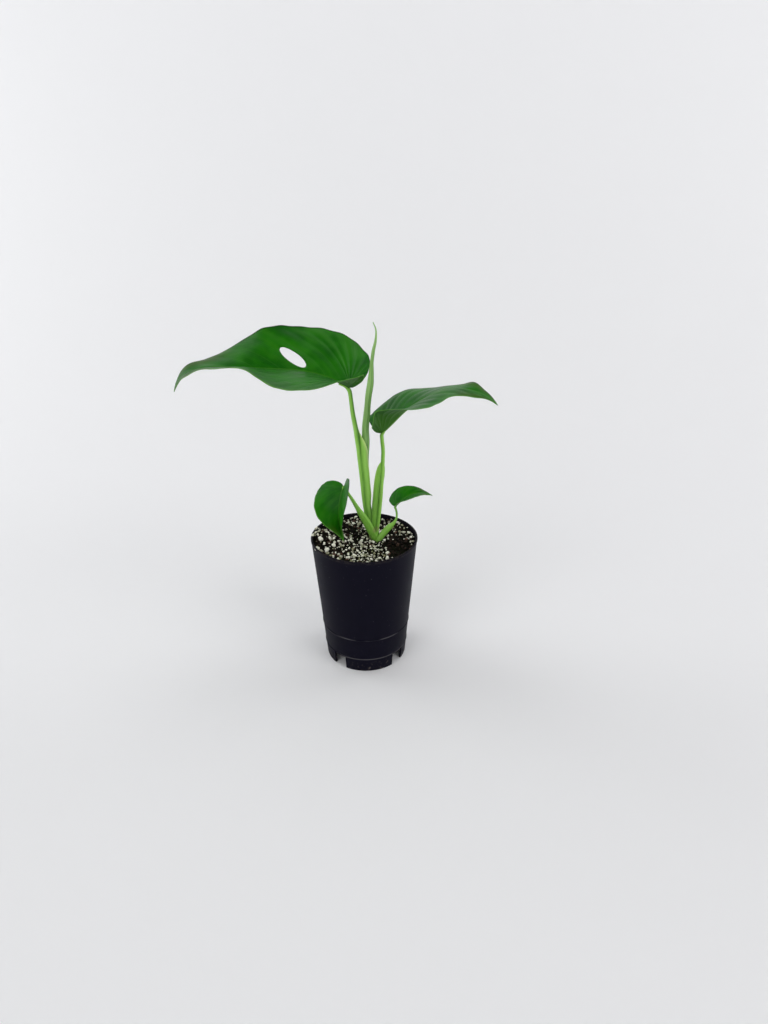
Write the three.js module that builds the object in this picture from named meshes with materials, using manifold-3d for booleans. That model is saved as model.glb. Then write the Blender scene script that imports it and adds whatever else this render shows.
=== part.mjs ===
// Young split-leaf philodendron in its nursery pot, in millimetres, +Z up.
// The viewer stands at -Y. Every place below is measured from the pot's axis at table height,
// and the finished group is moved so that its origin is the bottom centre of its box.
import * as THREE from 'three';
import { mergeVertices } from 'three/addons/utils/BufferGeometryUtils.js';
import Module from 'manifold-3d';

const wasm = await Module();
wasm.setup();

// Driving dimensions

const GAP = 0.3;            // clearance between pieces that touch
const POT = {
  height: 109.2, rimRadius: 41.5, footRadius: 33.3, wall: 1.2, rimBead: 0.3, rimBeadHeight: 2.4,
  floorZ: 12.2, floorThickness: 1.4, ringZ: [12.4, 32.3], ringHeight: 1.2, ringProud: 0.35, sides: 60,
  notchAngles: [51, 141, 231, 321], notchWidth: 11.6, notchHeight: 11.6, drainRadius: 4, drainAt: 23,
};
const MIX = {
  edgeZ: 105.6, moundRise: 1.4, moundCentre: [-6, 6], moundRadius: 26, rings: 7, sides: 30, bumps: 0.5,
  perlite: 90, bark: 30, seed: 7,
};
const STEM = { // x, y, z, half width, half depth of its stations, from the foot up
  stations: [
    [7.5, 4, 66, 1.2, 1.2], [7.5, 4, 76, 3.4, 3.4], [7.5, 4, 90, 4.6, 4.4], [7.6, 3.8, 103, 4.8, 4.6],
    [7.2, 4, 110, 4.0, 3.8], [6.4, 4.4, 116, 2.4, 2.2], [6, 4.6, 120, 0.8, 0.8],
  ],
  roots: 5, rootLength: 34, rootRadius: 1.5, rootDrop: 26,
};

// A flat blade is an outline that runs from the sinus round the basal lobe to the tip. The same
// stations serve every blade: vein index, place along the midrib, half width (shares of the length).
const OUTLINE = {
  vein: [0, 0.06, 0.13, 0.21, 0.29, 0.37, 0.46, 0.56, 0.66, 0.76, 0.86, 0.94, 1],
  along: [-0.012, -0.065, -0.105, -0.095, -0.03, 0.07, 0.2, 0.36, 0.52, 0.67, 0.81, 0.92, 1],
  half: [0.012, 0.045, 0.12, 0.21, 0.295, 0.345, 0.365, 0.345, 0.285, 0.2, 0.105, 0.035, 0],
};
const FIRST_MIDRIB_VEIN = 0.46;   // veins before this index spring from the junction itself
const VEIN_SPREAD = 1.3;          // how the feet of the others are spread along the midrib
const VEIN_ARCH = 1.25;           // veins leave the midrib steeply and arch towards the tip
const PITCH_AT = [0, 0.15, 0.35, 0.55, 0.72, 0.8, 0.86, 0.92, 1];
const HEADING_AT = [0, 0.4, 0.8, 1];
const FOLD_AT = [-0.11, 0, 0.12, 0.3, 0.5, 0.68, 0.78, 0.86, 0.93, 1];
const BLADE_THICKNESS = 0.7;

// Each leaf grew as one piece: blade, stalk and the sheath at the stalk's foot. Pitch and heading
// give the midrib's direction in degrees, fold the rise of each half from it, left half first, and
// curl how fast that rise changes towards the margin, in radians per blade length.
// stalk: x, y, z, half width, half depth of the stations, from the sheath's foot up.
const LEAVES = {
  leaf_1: {
    length: 137.4, width: 0.94, lobes: [0.4, 0.5], junction: [-10.3, -7.8, 236.2],
    veins: 30, rows: 5, knuckle: 1.5,
    pitch: [31, 15, 0, 2, -3, -14, -28, -46, -75], heading: [173, 174, 180, 179], curl: [-0.4, -0.32],
    fold: [[75, 36, 13, 6, 20, 16, 12, -5, -19, -29], [32, 27, 29, 29, 35, 15, 8, 20, 22, 34]],
    hole: { centre: [43.3, 12.2], halfLength: 13.7, halfWidth: 4.6, angle: 40, side: 1 },
    stalk: [
      [5.2, 4.4, 108.5, 3.6, 3.2], [3.6, 4.6, 116, 3.9, 3.6], [2.4, 4.4, 128, 3.8, 3.6],
      [1.6, 3.6, 143.6, 4.2, 3.8], [0.6, 2.4, 158, 4.1, 3.7], [-0.2, 1.4, 168, 4.2, 3.6],
      [-1, 0.2, 180, 4.5, 3.4], [-1.9, -0.9, 189, 4.2, 2.9], [-3.4, -2.4, 195.5, 2.7, 2.3],
      [-5.2, -3.6, 203, 1.9, 1.9], [-7.4, -5.2, 215, 1.65, 1.65], [-8.5, -7, 227, 1.5, 1.5],
      [-9.1, -7.5, 232.2, 1.5, 1.5], [-10.4, -7.8, 235.2, 1.5, 1.3], [-12.6, -7.5, 237.2, 1.1, 0.9],
    ],
  },
  leaf_2: {
    length: 100, width: 0.86, lobes: [0.2, 0.2], junction: [13.7, 5.2, 196],
    veins: 28, rows: 4, knuckle: 1.4,
    pitch: [38, 45, 32, 19, -3, -13, -18, -32, -48], heading: [13, 4, -20, -10], curl: [-0.72, -0.29],
    fold: [[36, 19, 15, 10, -5, -4, 16, 10, 19, 30], [34, 47, 52, 21, 2, 0, -6, -10, -10, -16]],
    stalk: [
      [9.6, 1.6, 106, 3.2, 3], [8.4, 1.4, 113, 3.7, 3.4], [8.5, 1.4, 122, 3.9, 3.5],
      [9, 1.6, 131.9, 3.9, 3.3], [10, 1.8, 144.6, 3.8, 3], [11.1, 2.2, 157, 3.6, 2.7],
      [11.9, 2.6, 163.5, 3.8, 2.4], [13.4, 3.2, 169, 2.6, 2], [14.2, 3.6, 174.5, 1.6, 1.6],
      [14.5, 4, 182, 1.45, 1.45], [13.7, 4.6, 191, 1.45, 1.45], [13.6, 5, 194.6, 1.4, 1.3],
      [15.2, 5.4, 197, 1.1, 0.9],
    ],
  },
  leaf_3: {
    length: 42.4, width: 1.41, lobes: [0.7, 0.7], junction: [-14.8, -13.7, 160.6],
    veins: 24, rows: 4, knuckle: 1.1,
    pitch: [-41, -54, -68, -75, -71, -66, -63, -60, -58], heading: [244, 257, 300, 301],
    curl: [-0.43, -0.45],
    fold: [[68, 62, 61, 64, 79, 99, 106, 100, 77, 53], [1, -3, -3, 2, 12, 19, 22, 18, 12, 5]],
    stalk: [
      [8.4, 1.2, 105.4, 2.4, 2.4], [7, 0, 110, 2.9, 2.7], [4.9, -1.5, 115.7, 3.1, 2.7],
      [1.5, -4, 124.8, 3.1, 2.4], [-2.2, -7, 133.1, 2.5, 2], [-5.5, -9, 140.3, 1.7, 1.6],
      [-8.4, -10.8, 147, 1.35, 1.35], [-11.5, -12.2, 153.4, 1.1, 1.1], [-13.9, -13.1, 158.6, 1, 1],
      [-15, -14.4, 160.4, 1, 0.9], [-15.4, -15.8, 159.4, 0.8, 0.7],
    ],
  },
  leaf_4: {
    length: 33.8, width: 0.95, lobes: [0.3, 0.3], junction: [23.7, 2.4, 135.2],
    veins: 22, rows: 3, knuckle: 0.95,
    pitch: [27, 41, 27, 10, -5, -15, -20, -23, -27], heading: [22, 13, 9, 7], curl: [-0.53, 0],
    fold: [[12, 16, 24, 30, 27, 21, 15, 14, 14, 14], [19, 34, 37, 21, 12, 9, 5, -2, -8, -12]],
    stalk: [
      [10.2, -1, 105.4, 2, 2], [12.6, -1, 109.6, 2.4, 2.2], [16.4, -0.6, 114.8, 2.6, 2],
      [19.6, -0.2, 118.4, 2.4, 1.7], [22.6, 0.3, 121.2, 1.5, 1.2], [24.8, 0.9, 124.6, 0.9, 0.9],
      [25.3, 1.4, 128.3, 0.8, 0.8], [24.8, 2, 132, 0.8, 0.8], [23.9, 2.3, 134.6, 0.9, 0.8],
      [25, 2.8, 135.9, 0.7, 0.6],
    ],
  },
};
// The new leaf is still rolled up: one slender spear that comes out of the sheath of leaf 1.
const NEW_LEAF = {
  stations: [
    [2.6, 4.4, 132, 0.9, 0.9], [2, 3.8, 143.6, 2.2, 2], [1.3, 3, 158, 2.6, 2.3], [0.8, 2.4, 172, 2.7, 2.4],
    [0.7, 2.2, 187, 2.7, 2.4], [1.2, 2.4, 202.4, 2.6, 2.3], [2.5, 2.8, 214.2, 2.45, 2.2],
    [3.9, 3, 226.5, 2.45, 2.2], [5.2, 3.1, 234.5, 2.5, 2.1], [6, 3.1, 243, 1.9, 1.7],
    [6.5, 3.1, 251, 1.35, 1.3], [7.7, 3, 259.5, 1.25, 1.1], [9.3, 3, 266.9, 0.9, 0.8],
    [9.5, 3, 274, 0.55, 0.5], [7.6, 3, 279.2, 0.3, 0.3],
  ],
};

const rad = THREE.MathUtils.degToRad;

// Smooth curve through stations: cubic pieces whose slopes come from the neighbouring stations.
function along(at, values, x) {
  const last = at.length - 1;
  const place = Math.min(Math.max(x, at[0]), at[last]);
  let i = 0;
  while (i < last - 1 && place > at[i + 1]) i += 1;
  const slope = (k) => {
    const a = Math.max(k - 1, 0);
    const b = Math.min(k + 1, last);
    return (values[b] - values[a]) / (at[b] - at[a]);
  };
  const h = at[i + 1] - at[i];
  const t = (place - at[i]) / h;
  return (2 * t ** 3 - 3 * t ** 2 + 1) * values[i] + (t ** 3 - 2 * t ** 2 + t) * h * slope(i)
    + (-2 * t ** 3 + 3 * t ** 2) * values[i + 1] + (t ** 3 - t ** 2) * h * slope(i + 1);
}

// Seeded random numbers from 0 to 1, so that every build is the same.
function randomFrom(seed) {
  let state = seed;
  return () => {
    state = (state + 0x6d2b79f5) | 0;
    let t = Math.imul(state ^ (state >>> 15), 1 | state);
    t = (t + Math.imul(t ^ (t >>> 7), 61 | t)) ^ t;
    return ((t ^ (t >>> 14)) >>> 0) / 4294967296;
  };
}

// Closed geometry to solid: vertices are welded and faces that collapse in the weld are dropped.
function solidOf(geometry) {
  const bare = geometry.clone();
  bare.deleteAttribute('normal');
  bare.deleteAttribute('uv');
  const merged = mergeVertices(bare, 1e-4);
  const index = merged.index.array;
  const kept = [];
  for (let i = 0; i < index.length; i += 3) {
    const [a, b, c] = [index[i], index[i + 1], index[i + 2]];
    if (a !== b && b !== c && c !== a) kept.push(a, b, c);
  }
  return new wasm.Manifold(new wasm.Mesh({
    numProp: 3,
    vertProperties: new Float32Array(merged.attributes.position.array),
    triVerts: new Uint32Array(kept),
  }));
}

function geometryFrom(points, triangles) {
  const geometry = new THREE.BufferGeometry();
  geometry.setAttribute('position', new THREE.BufferAttribute(new Float32Array(points.flat()), 3));
  geometry.setIndex(triangles);
  return geometry;
}

// Only the largest body of a cut is kept: the loose scraps that a cut leaves are dropped, and the
// edges too short to matter that it leaves are drawn together.
function largestOf(solid) {
  return solid.asOriginal().simplify(0.03).decompose().sort((a, b) => b.volume() - a.volume())[0];
}

// Stalk, stem or spear: oval sections across a smooth curve through the stations, closed at both
// ends. grow widens every section, to cut the clearance that a neighbour needs.
function stalkSolid(stations, { sides = 10, stepsPerStation = 2, grow = 0 } = {}) {
  const curve = new THREE.CatmullRomCurve3(stations.map((s) => new THREE.Vector3(s[0], s[1], s[2])));
  const steps = (stations.length - 1) * stepsPerStation;
  const knots = stations.map((_, i) => i);
  const points = [];
  const triangles = [];
  for (let i = 0; i <= steps; i += 1) {
    const middle = curve.getPoint(i / steps);
    const ahead = curve.getTangent(i / steps);
    const wide = new THREE.Vector3(0, 1, 0).cross(ahead).normalize();
    const deep = ahead.clone().cross(wide).normalize();
    const a = along(knots, stations.map((s) => s[3]), i / stepsPerStation) + grow;
    const b = along(knots, stations.map((s) => s[4]), i / stepsPerStation) + grow;
    const end = i === 0 ? -grow : i === steps ? grow : 0;
    for (let k = 0; k < sides; k += 1) {
      const angle = (2 * Math.PI * k) / sides;
      const p = middle.clone().addScaledVector(wide, a * Math.cos(angle))
        .addScaledVector(deep, b * Math.sin(angle)).addScaledVector(ahead, end);
      points.push(p.toArray());
    }
  }
  for (let i = 0; i < steps; i += 1) {
    for (let k = 0; k < sides; k += 1) {
      const next = (k + 1) % sides;
      const [a, b, c, d] = [i * sides + k, i * sides + next, (i + 1) * sides + next, (i + 1) * sides + k];
      triangles.push(a, b, c, a, c, d);
    }
  }
  for (let k = 1; k < sides - 1; k += 1) {
    const top = steps * sides;
    triangles.push(0, k + 1, k, top, top + k, top + k + 1);
  }
  return solidOf(geometryFrom(points, triangles));
}

// Leaf blade

// Midrib as a walk from the junction: each step follows the pitch and heading at its station.
// It is carried on behind the junction, because the basal lobes fold about its line there.
function midribOf(leaf) {
  const steps = 160;
  const from = -0.13;
  const rows = [];
  for (let i = 0; i <= steps; i += 1) {
    const x = from + ((1 - from) * i) / steps;
    const pitch = rad(along(PITCH_AT, leaf.pitch, x));
    const heading = rad(along(HEADING_AT, leaf.heading, x));
    const ahead = new THREE.Vector3(
      Math.cos(pitch) * Math.cos(heading), Math.cos(pitch) * Math.sin(heading), Math.sin(pitch));
    const left = new THREE.Vector3(-Math.sin(heading), Math.cos(heading), 0);
    rows.push({ x, ahead, left, up: ahead.clone().cross(left), point: new THREE.Vector3() });
  }
  for (let i = 1; i <= steps; i += 1) {
    const step = (rows[i].x - rows[i - 1].x) * leaf.length * 0.5;
    rows[i].point.copy(rows[i - 1].point)
      .addScaledVector(rows[i - 1].ahead, step).addScaledVector(rows[i].ahead, step);
  }
  const at = (x, key) => {
    const place = Math.min(Math.max(((x - from) / (1 - from)) * steps, 0), steps - 1e-9);
    const i = Math.floor(place);
    return rows[i][key].clone().lerp(rows[i + 1][key], place - i);
  };
  const shift = new THREE.Vector3(...leaf.junction).sub(at(0, 'point'));
  rows.forEach((row) => row.point.add(shift));
  return at;
}

// A place on the flat blade, x along the midrib and y out from it in blade lengths, on the curved
// one: out from the midrib along an arc that starts at the fold angle and turns by the curl.
function placeOn(leaf, midrib, half, x, y) {
  const side = half === 0 ? 1 : -1;
  const fold = rad(along(FOLD_AT, leaf.fold[half], x));
  const curl = Math.abs(leaf.curl[half]) < 1e-6 ? 1e-6 : leaf.curl[half];
  const out = (leaf.length * (Math.sin(fold + curl * y) - Math.sin(fold))) / curl;
  const rise = (leaf.length * (Math.cos(fold) - Math.cos(fold + curl * y))) / curl;
  return midrib(x, 'point').addScaledVector(midrib(x, 'left'), side * out)
    .addScaledVector(midrib(x, 'up'), rise);
}

function normalOn(leaf, midrib, half, x, y) {
  const d = 1e-3;
  const here = placeOn(leaf, midrib, half, x, y);
  const ahead = placeOn(leaf, midrib, half, x + d, y).sub(here);
  const out = placeOn(leaf, midrib, half, x, y + d).sub(here);
  return (half === 0 ? ahead.cross(out) : out.cross(ahead)).normalize();
}

// Flat place of a point on a vein: vein 0 is at the sinus, vein 1 at the tip, t runs to the margin.
function flatPlace(leaf, half, vein, t) {
  const edge = along(OUTLINE.vein, OUTLINE.along.map((v) => (v < 0 ? v * leaf.lobes[half] : v)), vein);
  const foot = Math.max((vein - FIRST_MIDRIB_VEIN) / (1 - FIRST_MIDRIB_VEIN), 0) ** VEIN_SPREAD;
  const y = along(OUTLINE.vein, OUTLINE.half, vein) * leaf.width * t;
  return [foot + (edge - foot) * t ** VEIN_ARCH, y];
}

// One half of the blade: upper and lower face on the same grid of veins, closed along its edges.
function bladeHalf(leaf, midrib, half) {
  const { veins, rows } = leaf;
  const points = [];
  const triangles = [];
  for (const lift of [BLADE_THICKNESS / 2, -BLADE_THICKNESS / 2]) {
    for (let i = 0; i <= veins; i += 1) {
      for (let j = 0; j <= rows; j += 1) {
        const [x, y] = flatPlace(leaf, half, i / veins, j / rows);
        points.push(placeOn(leaf, midrib, half, x, y)
          .addScaledVector(normalOn(leaf, midrib, half, x, y), lift).toArray());
      }
    }
  }
  const layer = (veins + 1) * (rows + 1);
  const id = (i, j, below) => i * (rows + 1) + j + (below ? layer : 0);
  const quad = (a, b, c, d) => {
    if (half === 0) triangles.push(a, b, c, a, c, d);
    else triangles.push(a, c, b, a, d, c);
  };
  for (let i = 0; i < veins; i += 1) {
    for (let j = 0; j < rows; j += 1) {
      quad(id(i, j), id(i + 1, j), id(i + 1, j + 1), id(i, j + 1));
      const [a, b, c, d] = [id(i, j, true), id(i + 1, j, true), id(i + 1, j + 1, true), id(i, j + 1, true)];
      if (half === 0) triangles.push(a, c, b, a, d, c);
      else triangles.push(a, b, c, a, c, d);
    }
    quad(id(i, 0, true), id(i + 1, 0, true), id(i + 1, 0), id(i, 0));
    quad(id(i + 1, rows, true), id(i, rows, true), id(i, rows), id(i + 1, rows));
  }
  for (let j = 0; j < rows; j += 1) {
    quad(id(0, j + 1, true), id(0, j, true), id(0, j), id(0, j + 1));
  }
  return solidOf(geometryFrom(points, triangles));
}

// The midrib stands out under the blade as a tapered rib.
function ribSolid(leaf, midrib) {
  const thick = 0.45 + 0.004 * leaf.length;
  const stations = [0.012, 0.15, 0.35, 0.55, 0.72, 0.86, 0.96].map((x) => {
    const radius = thick * (1 - 0.62 * x) * (x > 0.9 ? 0.6 : 1);
    const p = midrib(x, 'point').addScaledVector(midrib(x, 'up'), -0.3 * radius);
    return [...p.toArray(), radius, radius];
  });
  return stalkSolid(stations, { sides: 6, stepsPerStation: 2 });
}

// The hole in a blade is cut by a plug that follows the blade's own curve.
function holePlug(leaf, midrib) {
  const { centre, halfLength, halfWidth, angle, side } = leaf.hole;
  const sides = 20;
  const reach = 4;
  const points = [];
  const triangles = [];
  const turn = rad(angle);
  const push = (along_, across, lift) => {
    const x = (centre[0] + along_ * Math.cos(turn) - across * Math.sin(turn)) / leaf.length;
    const y = (centre[1] + along_ * Math.sin(turn) + across * Math.cos(turn)) / leaf.length;
    points.push(placeOn(leaf, midrib, side, x, y)
      .addScaledVector(normalOn(leaf, midrib, side, x, y), lift).toArray());
  };
  for (const lift of [-reach, reach]) {
    for (let k = 0; k < sides; k += 1) {
      const a = (2 * Math.PI * k) / sides;
      push(halfLength * Math.cos(a), halfWidth * Math.sin(a), lift);
    }
    push(0, 0, lift);
  }
  const top = sides + 1;
  for (let k = 0; k < sides; k += 1) {
    const next = (k + 1) % sides;
    triangles.push(k, next, sides, top + next, top + k, top + sides);
    triangles.push(next, k, top + k, next, top + k, top + next);
  }
  return solidOf(geometryFrom(points, triangles));
}

function leafSolid(leaf, neighbours) {
  const midrib = midribOf(leaf);
  let blade = bladeHalf(leaf, midrib, 0).add(bladeHalf(leaf, midrib, 1)).add(ribSolid(leaf, midrib));
  if (leaf.hole) blade = blade.subtract(holePlug(leaf, midrib));
  // the stalk swells a little where it meets the blade
  const knuckle = new THREE.IcosahedronGeometry(leaf.knuckle, 1);
  knuckle.translate(...leaf.junction);
  let solid = blade.add(stalkSolid(leaf.stalk)).add(solidOf(knuckle));
  for (const neighbour of neighbours) solid = solid.subtract(neighbour);
  return largestOf(solid);
}

// Pot

const floorTopZ = POT.floorZ + POT.floorThickness;
const wallAt = (z) => POT.footRadius + ((POT.rimRadius - POT.rimBead - POT.footRadius) * z) / POT.height;

function potSolid() {
  const { height, wall, floorZ, floorThickness, ringHeight, ringProud, rimBead, rimBeadHeight } = POT;
  const inside = (z) => wallAt(z) - wall;
  const profile = [[0, floorZ + floorThickness], [inside(floorZ) - 2, floorZ + floorThickness],
    [inside(floorZ + 4), floorZ + floorThickness + 2.4], [inside(height), height - 0.3],
    [inside(height) + 0.3, height], [wallAt(height) + rimBead - 0.2, height],
    [wallAt(height) + rimBead, height - 0.4], [wallAt(height) + rimBead, height - rimBeadHeight],
    [wallAt(height - rimBeadHeight), height - rimBeadHeight - 0.4]];
  for (const z of [...POT.ringZ].reverse()) {
    profile.push([wallAt(z + ringHeight / 2), z + ringHeight / 2]);
    profile.push([wallAt(z) + ringProud, z + ringHeight / 4], [wallAt(z) + ringProud, z - ringHeight / 4]);
    profile.push([wallAt(z - ringHeight / 2), z - ringHeight / 2]);
  }
  profile.push([wallAt(0), 0], [wallAt(0) - 1.8, 0], [inside(floorZ) - 0.4, floorZ - 0.6]);
  profile.push([inside(floorZ) - 1, floorZ], [0, floorZ]);
  const lathe = new THREE.LatheGeometry(profile.map(([r, z]) => new THREE.Vector2(r, -z)), POT.sides);
  let solid = solidOf(lathe.rotateX(-Math.PI / 2));
  for (const angle of POT.notchAngles) {
    const notch = new THREE.BoxGeometry(16, POT.notchWidth, 2 * POT.notchHeight);
    notch.translate(POT.footRadius, 0, 0).rotateZ(rad(angle));
    const drain = new THREE.CylinderGeometry(POT.drainRadius, POT.drainRadius, 8, 14);
    drain.rotateX(Math.PI / 2).translate(POT.drainAt, 0, floorZ).rotateZ(rad(angle));
    solid = solid.subtract(solidOf(notch)).subtract(solidOf(drain));
  }
  return solid;
}

// Potting mix

const mixHeight = (x, y) => {
  const away = Math.hypot(x - MIX.moundCentre[0], y - MIX.moundCentre[1]) / MIX.moundRadius;
  return MIX.edgeZ + MIX.moundRise * Math.exp(-away * away);
};

function mixSolid(holes) {
  const random = randomFrom(MIX.seed);
  const { rings, sides, bumps } = MIX;
  const radius = wallAt(MIX.edgeZ) - POT.wall - GAP;
  const bottomZ = floorTopZ + GAP;
  const points = [[0, 0, mixHeight(0, 0)]];
  const triangles = [];
  for (let i = 1; i <= rings; i += 1) {
    for (let k = 0; k < sides; k += 1) {
      const angle = (2 * Math.PI * (k + (i % 2) / 2)) / sides;
      const r = (radius * i) / rings;
      const [x, y] = [r * Math.cos(angle), r * Math.sin(angle)];
      points.push([x, y, mixHeight(x, y) + bumps * (2 * random() - 1)]);
    }
  }
  // below the surface the mix follows the pot's wall, its turned-in foot and its floor
  const wallRows = [[wallAt(60) - POT.wall - GAP, 60],
    [wallAt(floorTopZ + 3) - POT.wall - GAP, floorTopZ + 3.4], [wallAt(floorTopZ) - POT.wall - 3.4, bottomZ]];
  for (const [r, z] of wallRows) {
    for (let k = 0; k < sides; k += 1) {
      const angle = (2 * Math.PI * (k + (rings % 2) / 2)) / sides;
      points.push([r * Math.cos(angle), r * Math.sin(angle), z]);
    }
  }
  const start = (row) => 1 + (row - 1) * sides;
  for (let k = 0; k < sides; k += 1) triangles.push(0, start(1) + k, start(1) + ((k + 1) % sides));
  for (let row = 1; row < rings + wallRows.length; row += 1) {
    for (let k = 0; k < sides; k += 1) {
      const next = (k + 1) % sides;
      const [a, b, c, d] = [start(row) + k, start(row) + next, start(row + 1) + next, start(row + 1) + k];
      const outerAhead = row < rings && row % 2 === 0;
      if (outerAhead) triangles.push(a, d, b, b, d, c);
      else triangles.push(a, d, c, a, c, b);
    }
  }
  const foot = start(rings + wallRows.length);
  for (let k = 1; k < sides - 1; k += 1) triangles.push(foot, foot + k + 1, foot + k);
  let solid = solidOf(geometryFrom(points, triangles));

  // perlite grains and bark chips, larger than life and sunk into the surface, thickest in front
  const grains = [];
  const room = radius - 2.4;
  while (grains.length < MIX.perlite + MIX.bark) {
    const angle = 2 * Math.PI * random();
    const r = room * Math.sqrt(random());
    const [x, y] = [r * Math.cos(angle), r * Math.sin(angle)];
    const white = grains.length < MIX.perlite;
    const shaded = white && x > 8 && y < 4 && random() < 0.7;
    const nearStem = Math.hypot(x - 8.5, y - 2) < 8;
    if (!shaded && !nearStem) {
      const size = white ? 1.1 + 0.9 * random() : 1.5 + random();
      const shape = new THREE.OctahedronGeometry(size, 0);
      shape.scale(1, white ? 0.75 : 0.55, white ? 0.7 : 0.5);
      shape.rotateZ(2 * Math.PI * random()).rotateX(0.8 * (random() - 0.5));
      shape.translate(x, y, mixHeight(x, y) + size * (0.15 + 0.3 * random()));
      grains.push(solidOf(shape));
    }
  }
  solid = grains.reduce((sum, grain) => sum.add(grain), solid);
  for (const hole of holes) solid = solid.subtract(hole);
  return largestOf(solid);
}

// Stem and roots

// Roots leave the stem's foot evenly round it, bend down and taper, each in a hole of its own.
function stemSolid(grow = 0) {
  let solid = stalkSolid(STEM.stations, { grow });
  const [cx, cy] = STEM.stations[2];
  for (let i = 0; i < STEM.roots; i += 1) {
    const angle = (2 * Math.PI * (i + 0.3)) / STEM.roots;
    const stations = [0, 0.35, 0.7, 1].map((t) => {
      const out = 1 + STEM.rootLength * 0.62 * t;
      const z = 86 - (i % 2) * 5 - STEM.rootDrop * t * t;
      const r = STEM.rootRadius * (1 - 0.7 * t);
      return [cx + out * Math.cos(angle), cy + out * Math.sin(angle), z, r, r];
    });
    solid = solid.add(stalkSolid(stations, { sides: 6, grow }));
  }
  return solid;
}

// Assembly: a piece that wraps another is cut back from it by the clearance

const wide = { grow: GAP };
const stemHole = stemSolid(GAP);
const spearHole = stalkSolid(NEW_LEAF.stations, wide);
const stalkHole = Object.fromEntries(
  Object.entries(LEAVES).map(([name, leaf]) => [name, stalkSolid(leaf.stalk, wide)]));

const solids = {
  pot: potSolid(),
  stem: stemSolid(),
  new_leaf: stalkSolid(NEW_LEAF.stations),
  leaf_1: leafSolid(LEAVES.leaf_1, [stemHole, spearHole]),
  leaf_2: leafSolid(LEAVES.leaf_2, [stemHole, spearHole, stalkHole.leaf_1]),
  leaf_3: leafSolid(LEAVES.leaf_3, [stemHole, stalkHole.leaf_1, stalkHole.leaf_2]),
  leaf_4: leafSolid(LEAVES.leaf_4, [stemHole, stalkHole.leaf_1, stalkHole.leaf_2, stalkHole.leaf_3]),
};
solids.potting_mix = mixSolid([stemHole, ...Object.values(stalkHole)]);

const FINISH = {
  pot: { color: 0x14131c, roughness: 0.45 },
  potting_mix: { color: 0x2a221c, roughness: 0.95 },
  stem: { color: 0x7d8a4e, roughness: 0.6 },
  leaf_1: { color: 0x246b14, roughness: 0.4 },
  leaf_2: { color: 0x246b14, roughness: 0.4 },
  leaf_3: { color: 0x2a7418, roughness: 0.4 },
  leaf_4: { color: 0x2a7418, roughness: 0.4 },
  new_leaf: { color: 0x6fa548, roughness: 0.45 },
};

const group = new THREE.Group();
for (const [name, finish] of Object.entries(FINISH)) {
  const { vertProperties, triVerts } = solids[name].getMesh();
  const geometry = new THREE.BufferGeometry();
  geometry.setAttribute('position', new THREE.BufferAttribute(vertProperties, 3));
  geometry.setIndex(new THREE.BufferAttribute(triVerts, 1));
  geometry.computeVertexNormals();
  const mesh = new THREE.Mesh(geometry, new THREE.MeshStandardMaterial({ ...finish, metalness: 0 }));
  mesh.name = name;
  group.add(mesh);
}
const box = new THREE.Box3().setFromObject(group);
group.position.set(-(box.min.x + box.max.x) / 2, -(box.min.y + box.max.y) / 2, -box.min.z);

export default group;
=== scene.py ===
import math

import bmesh
import bpy
import numpy as np
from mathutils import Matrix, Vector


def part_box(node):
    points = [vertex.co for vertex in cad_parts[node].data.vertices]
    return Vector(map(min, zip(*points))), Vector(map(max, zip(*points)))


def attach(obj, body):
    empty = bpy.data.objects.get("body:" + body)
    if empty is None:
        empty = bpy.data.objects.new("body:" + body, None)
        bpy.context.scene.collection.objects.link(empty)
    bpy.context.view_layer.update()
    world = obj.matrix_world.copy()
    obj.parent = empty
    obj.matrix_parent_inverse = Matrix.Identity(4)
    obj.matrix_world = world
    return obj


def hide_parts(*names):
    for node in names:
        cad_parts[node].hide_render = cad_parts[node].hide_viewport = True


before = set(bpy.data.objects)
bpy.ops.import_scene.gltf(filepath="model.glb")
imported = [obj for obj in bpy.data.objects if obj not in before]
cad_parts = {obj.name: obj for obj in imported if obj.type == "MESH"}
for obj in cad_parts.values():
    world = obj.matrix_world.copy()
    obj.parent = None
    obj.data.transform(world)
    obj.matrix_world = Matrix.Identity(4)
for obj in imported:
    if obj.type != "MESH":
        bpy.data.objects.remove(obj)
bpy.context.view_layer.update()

# The camera looks down on the plant from the front, where the photograph was taken. Every shape
# below is given in millimetres from the pot's axis at the height that the pot stands on.
pot_low, pot_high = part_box("pot")
POT_AXIS = np.array([(pot_low[0] + pot_high[0]) / 2, (pot_low[1] + pot_high[1]) / 2, pot_low[2]])
CAMERA_PLACE, CAMERA_TILT = np.array([0.0152, -0.5116, 0.4052]), 61.86
camera_data = bpy.data.cameras.new("camera")
camera_data.lens = 26.0
camera_data.sensor_width = 36.0
camera_data.clip_start = 0.01
camera = bpy.data.objects.new("camera", camera_data)
camera.location = POT_AXIS + CAMERA_PLACE
camera.rotation_euler = (math.radians(CAMERA_TILT), 0, 0)
bpy.context.scene.collection.objects.link(camera)
bpy.context.scene.camera = camera

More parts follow.
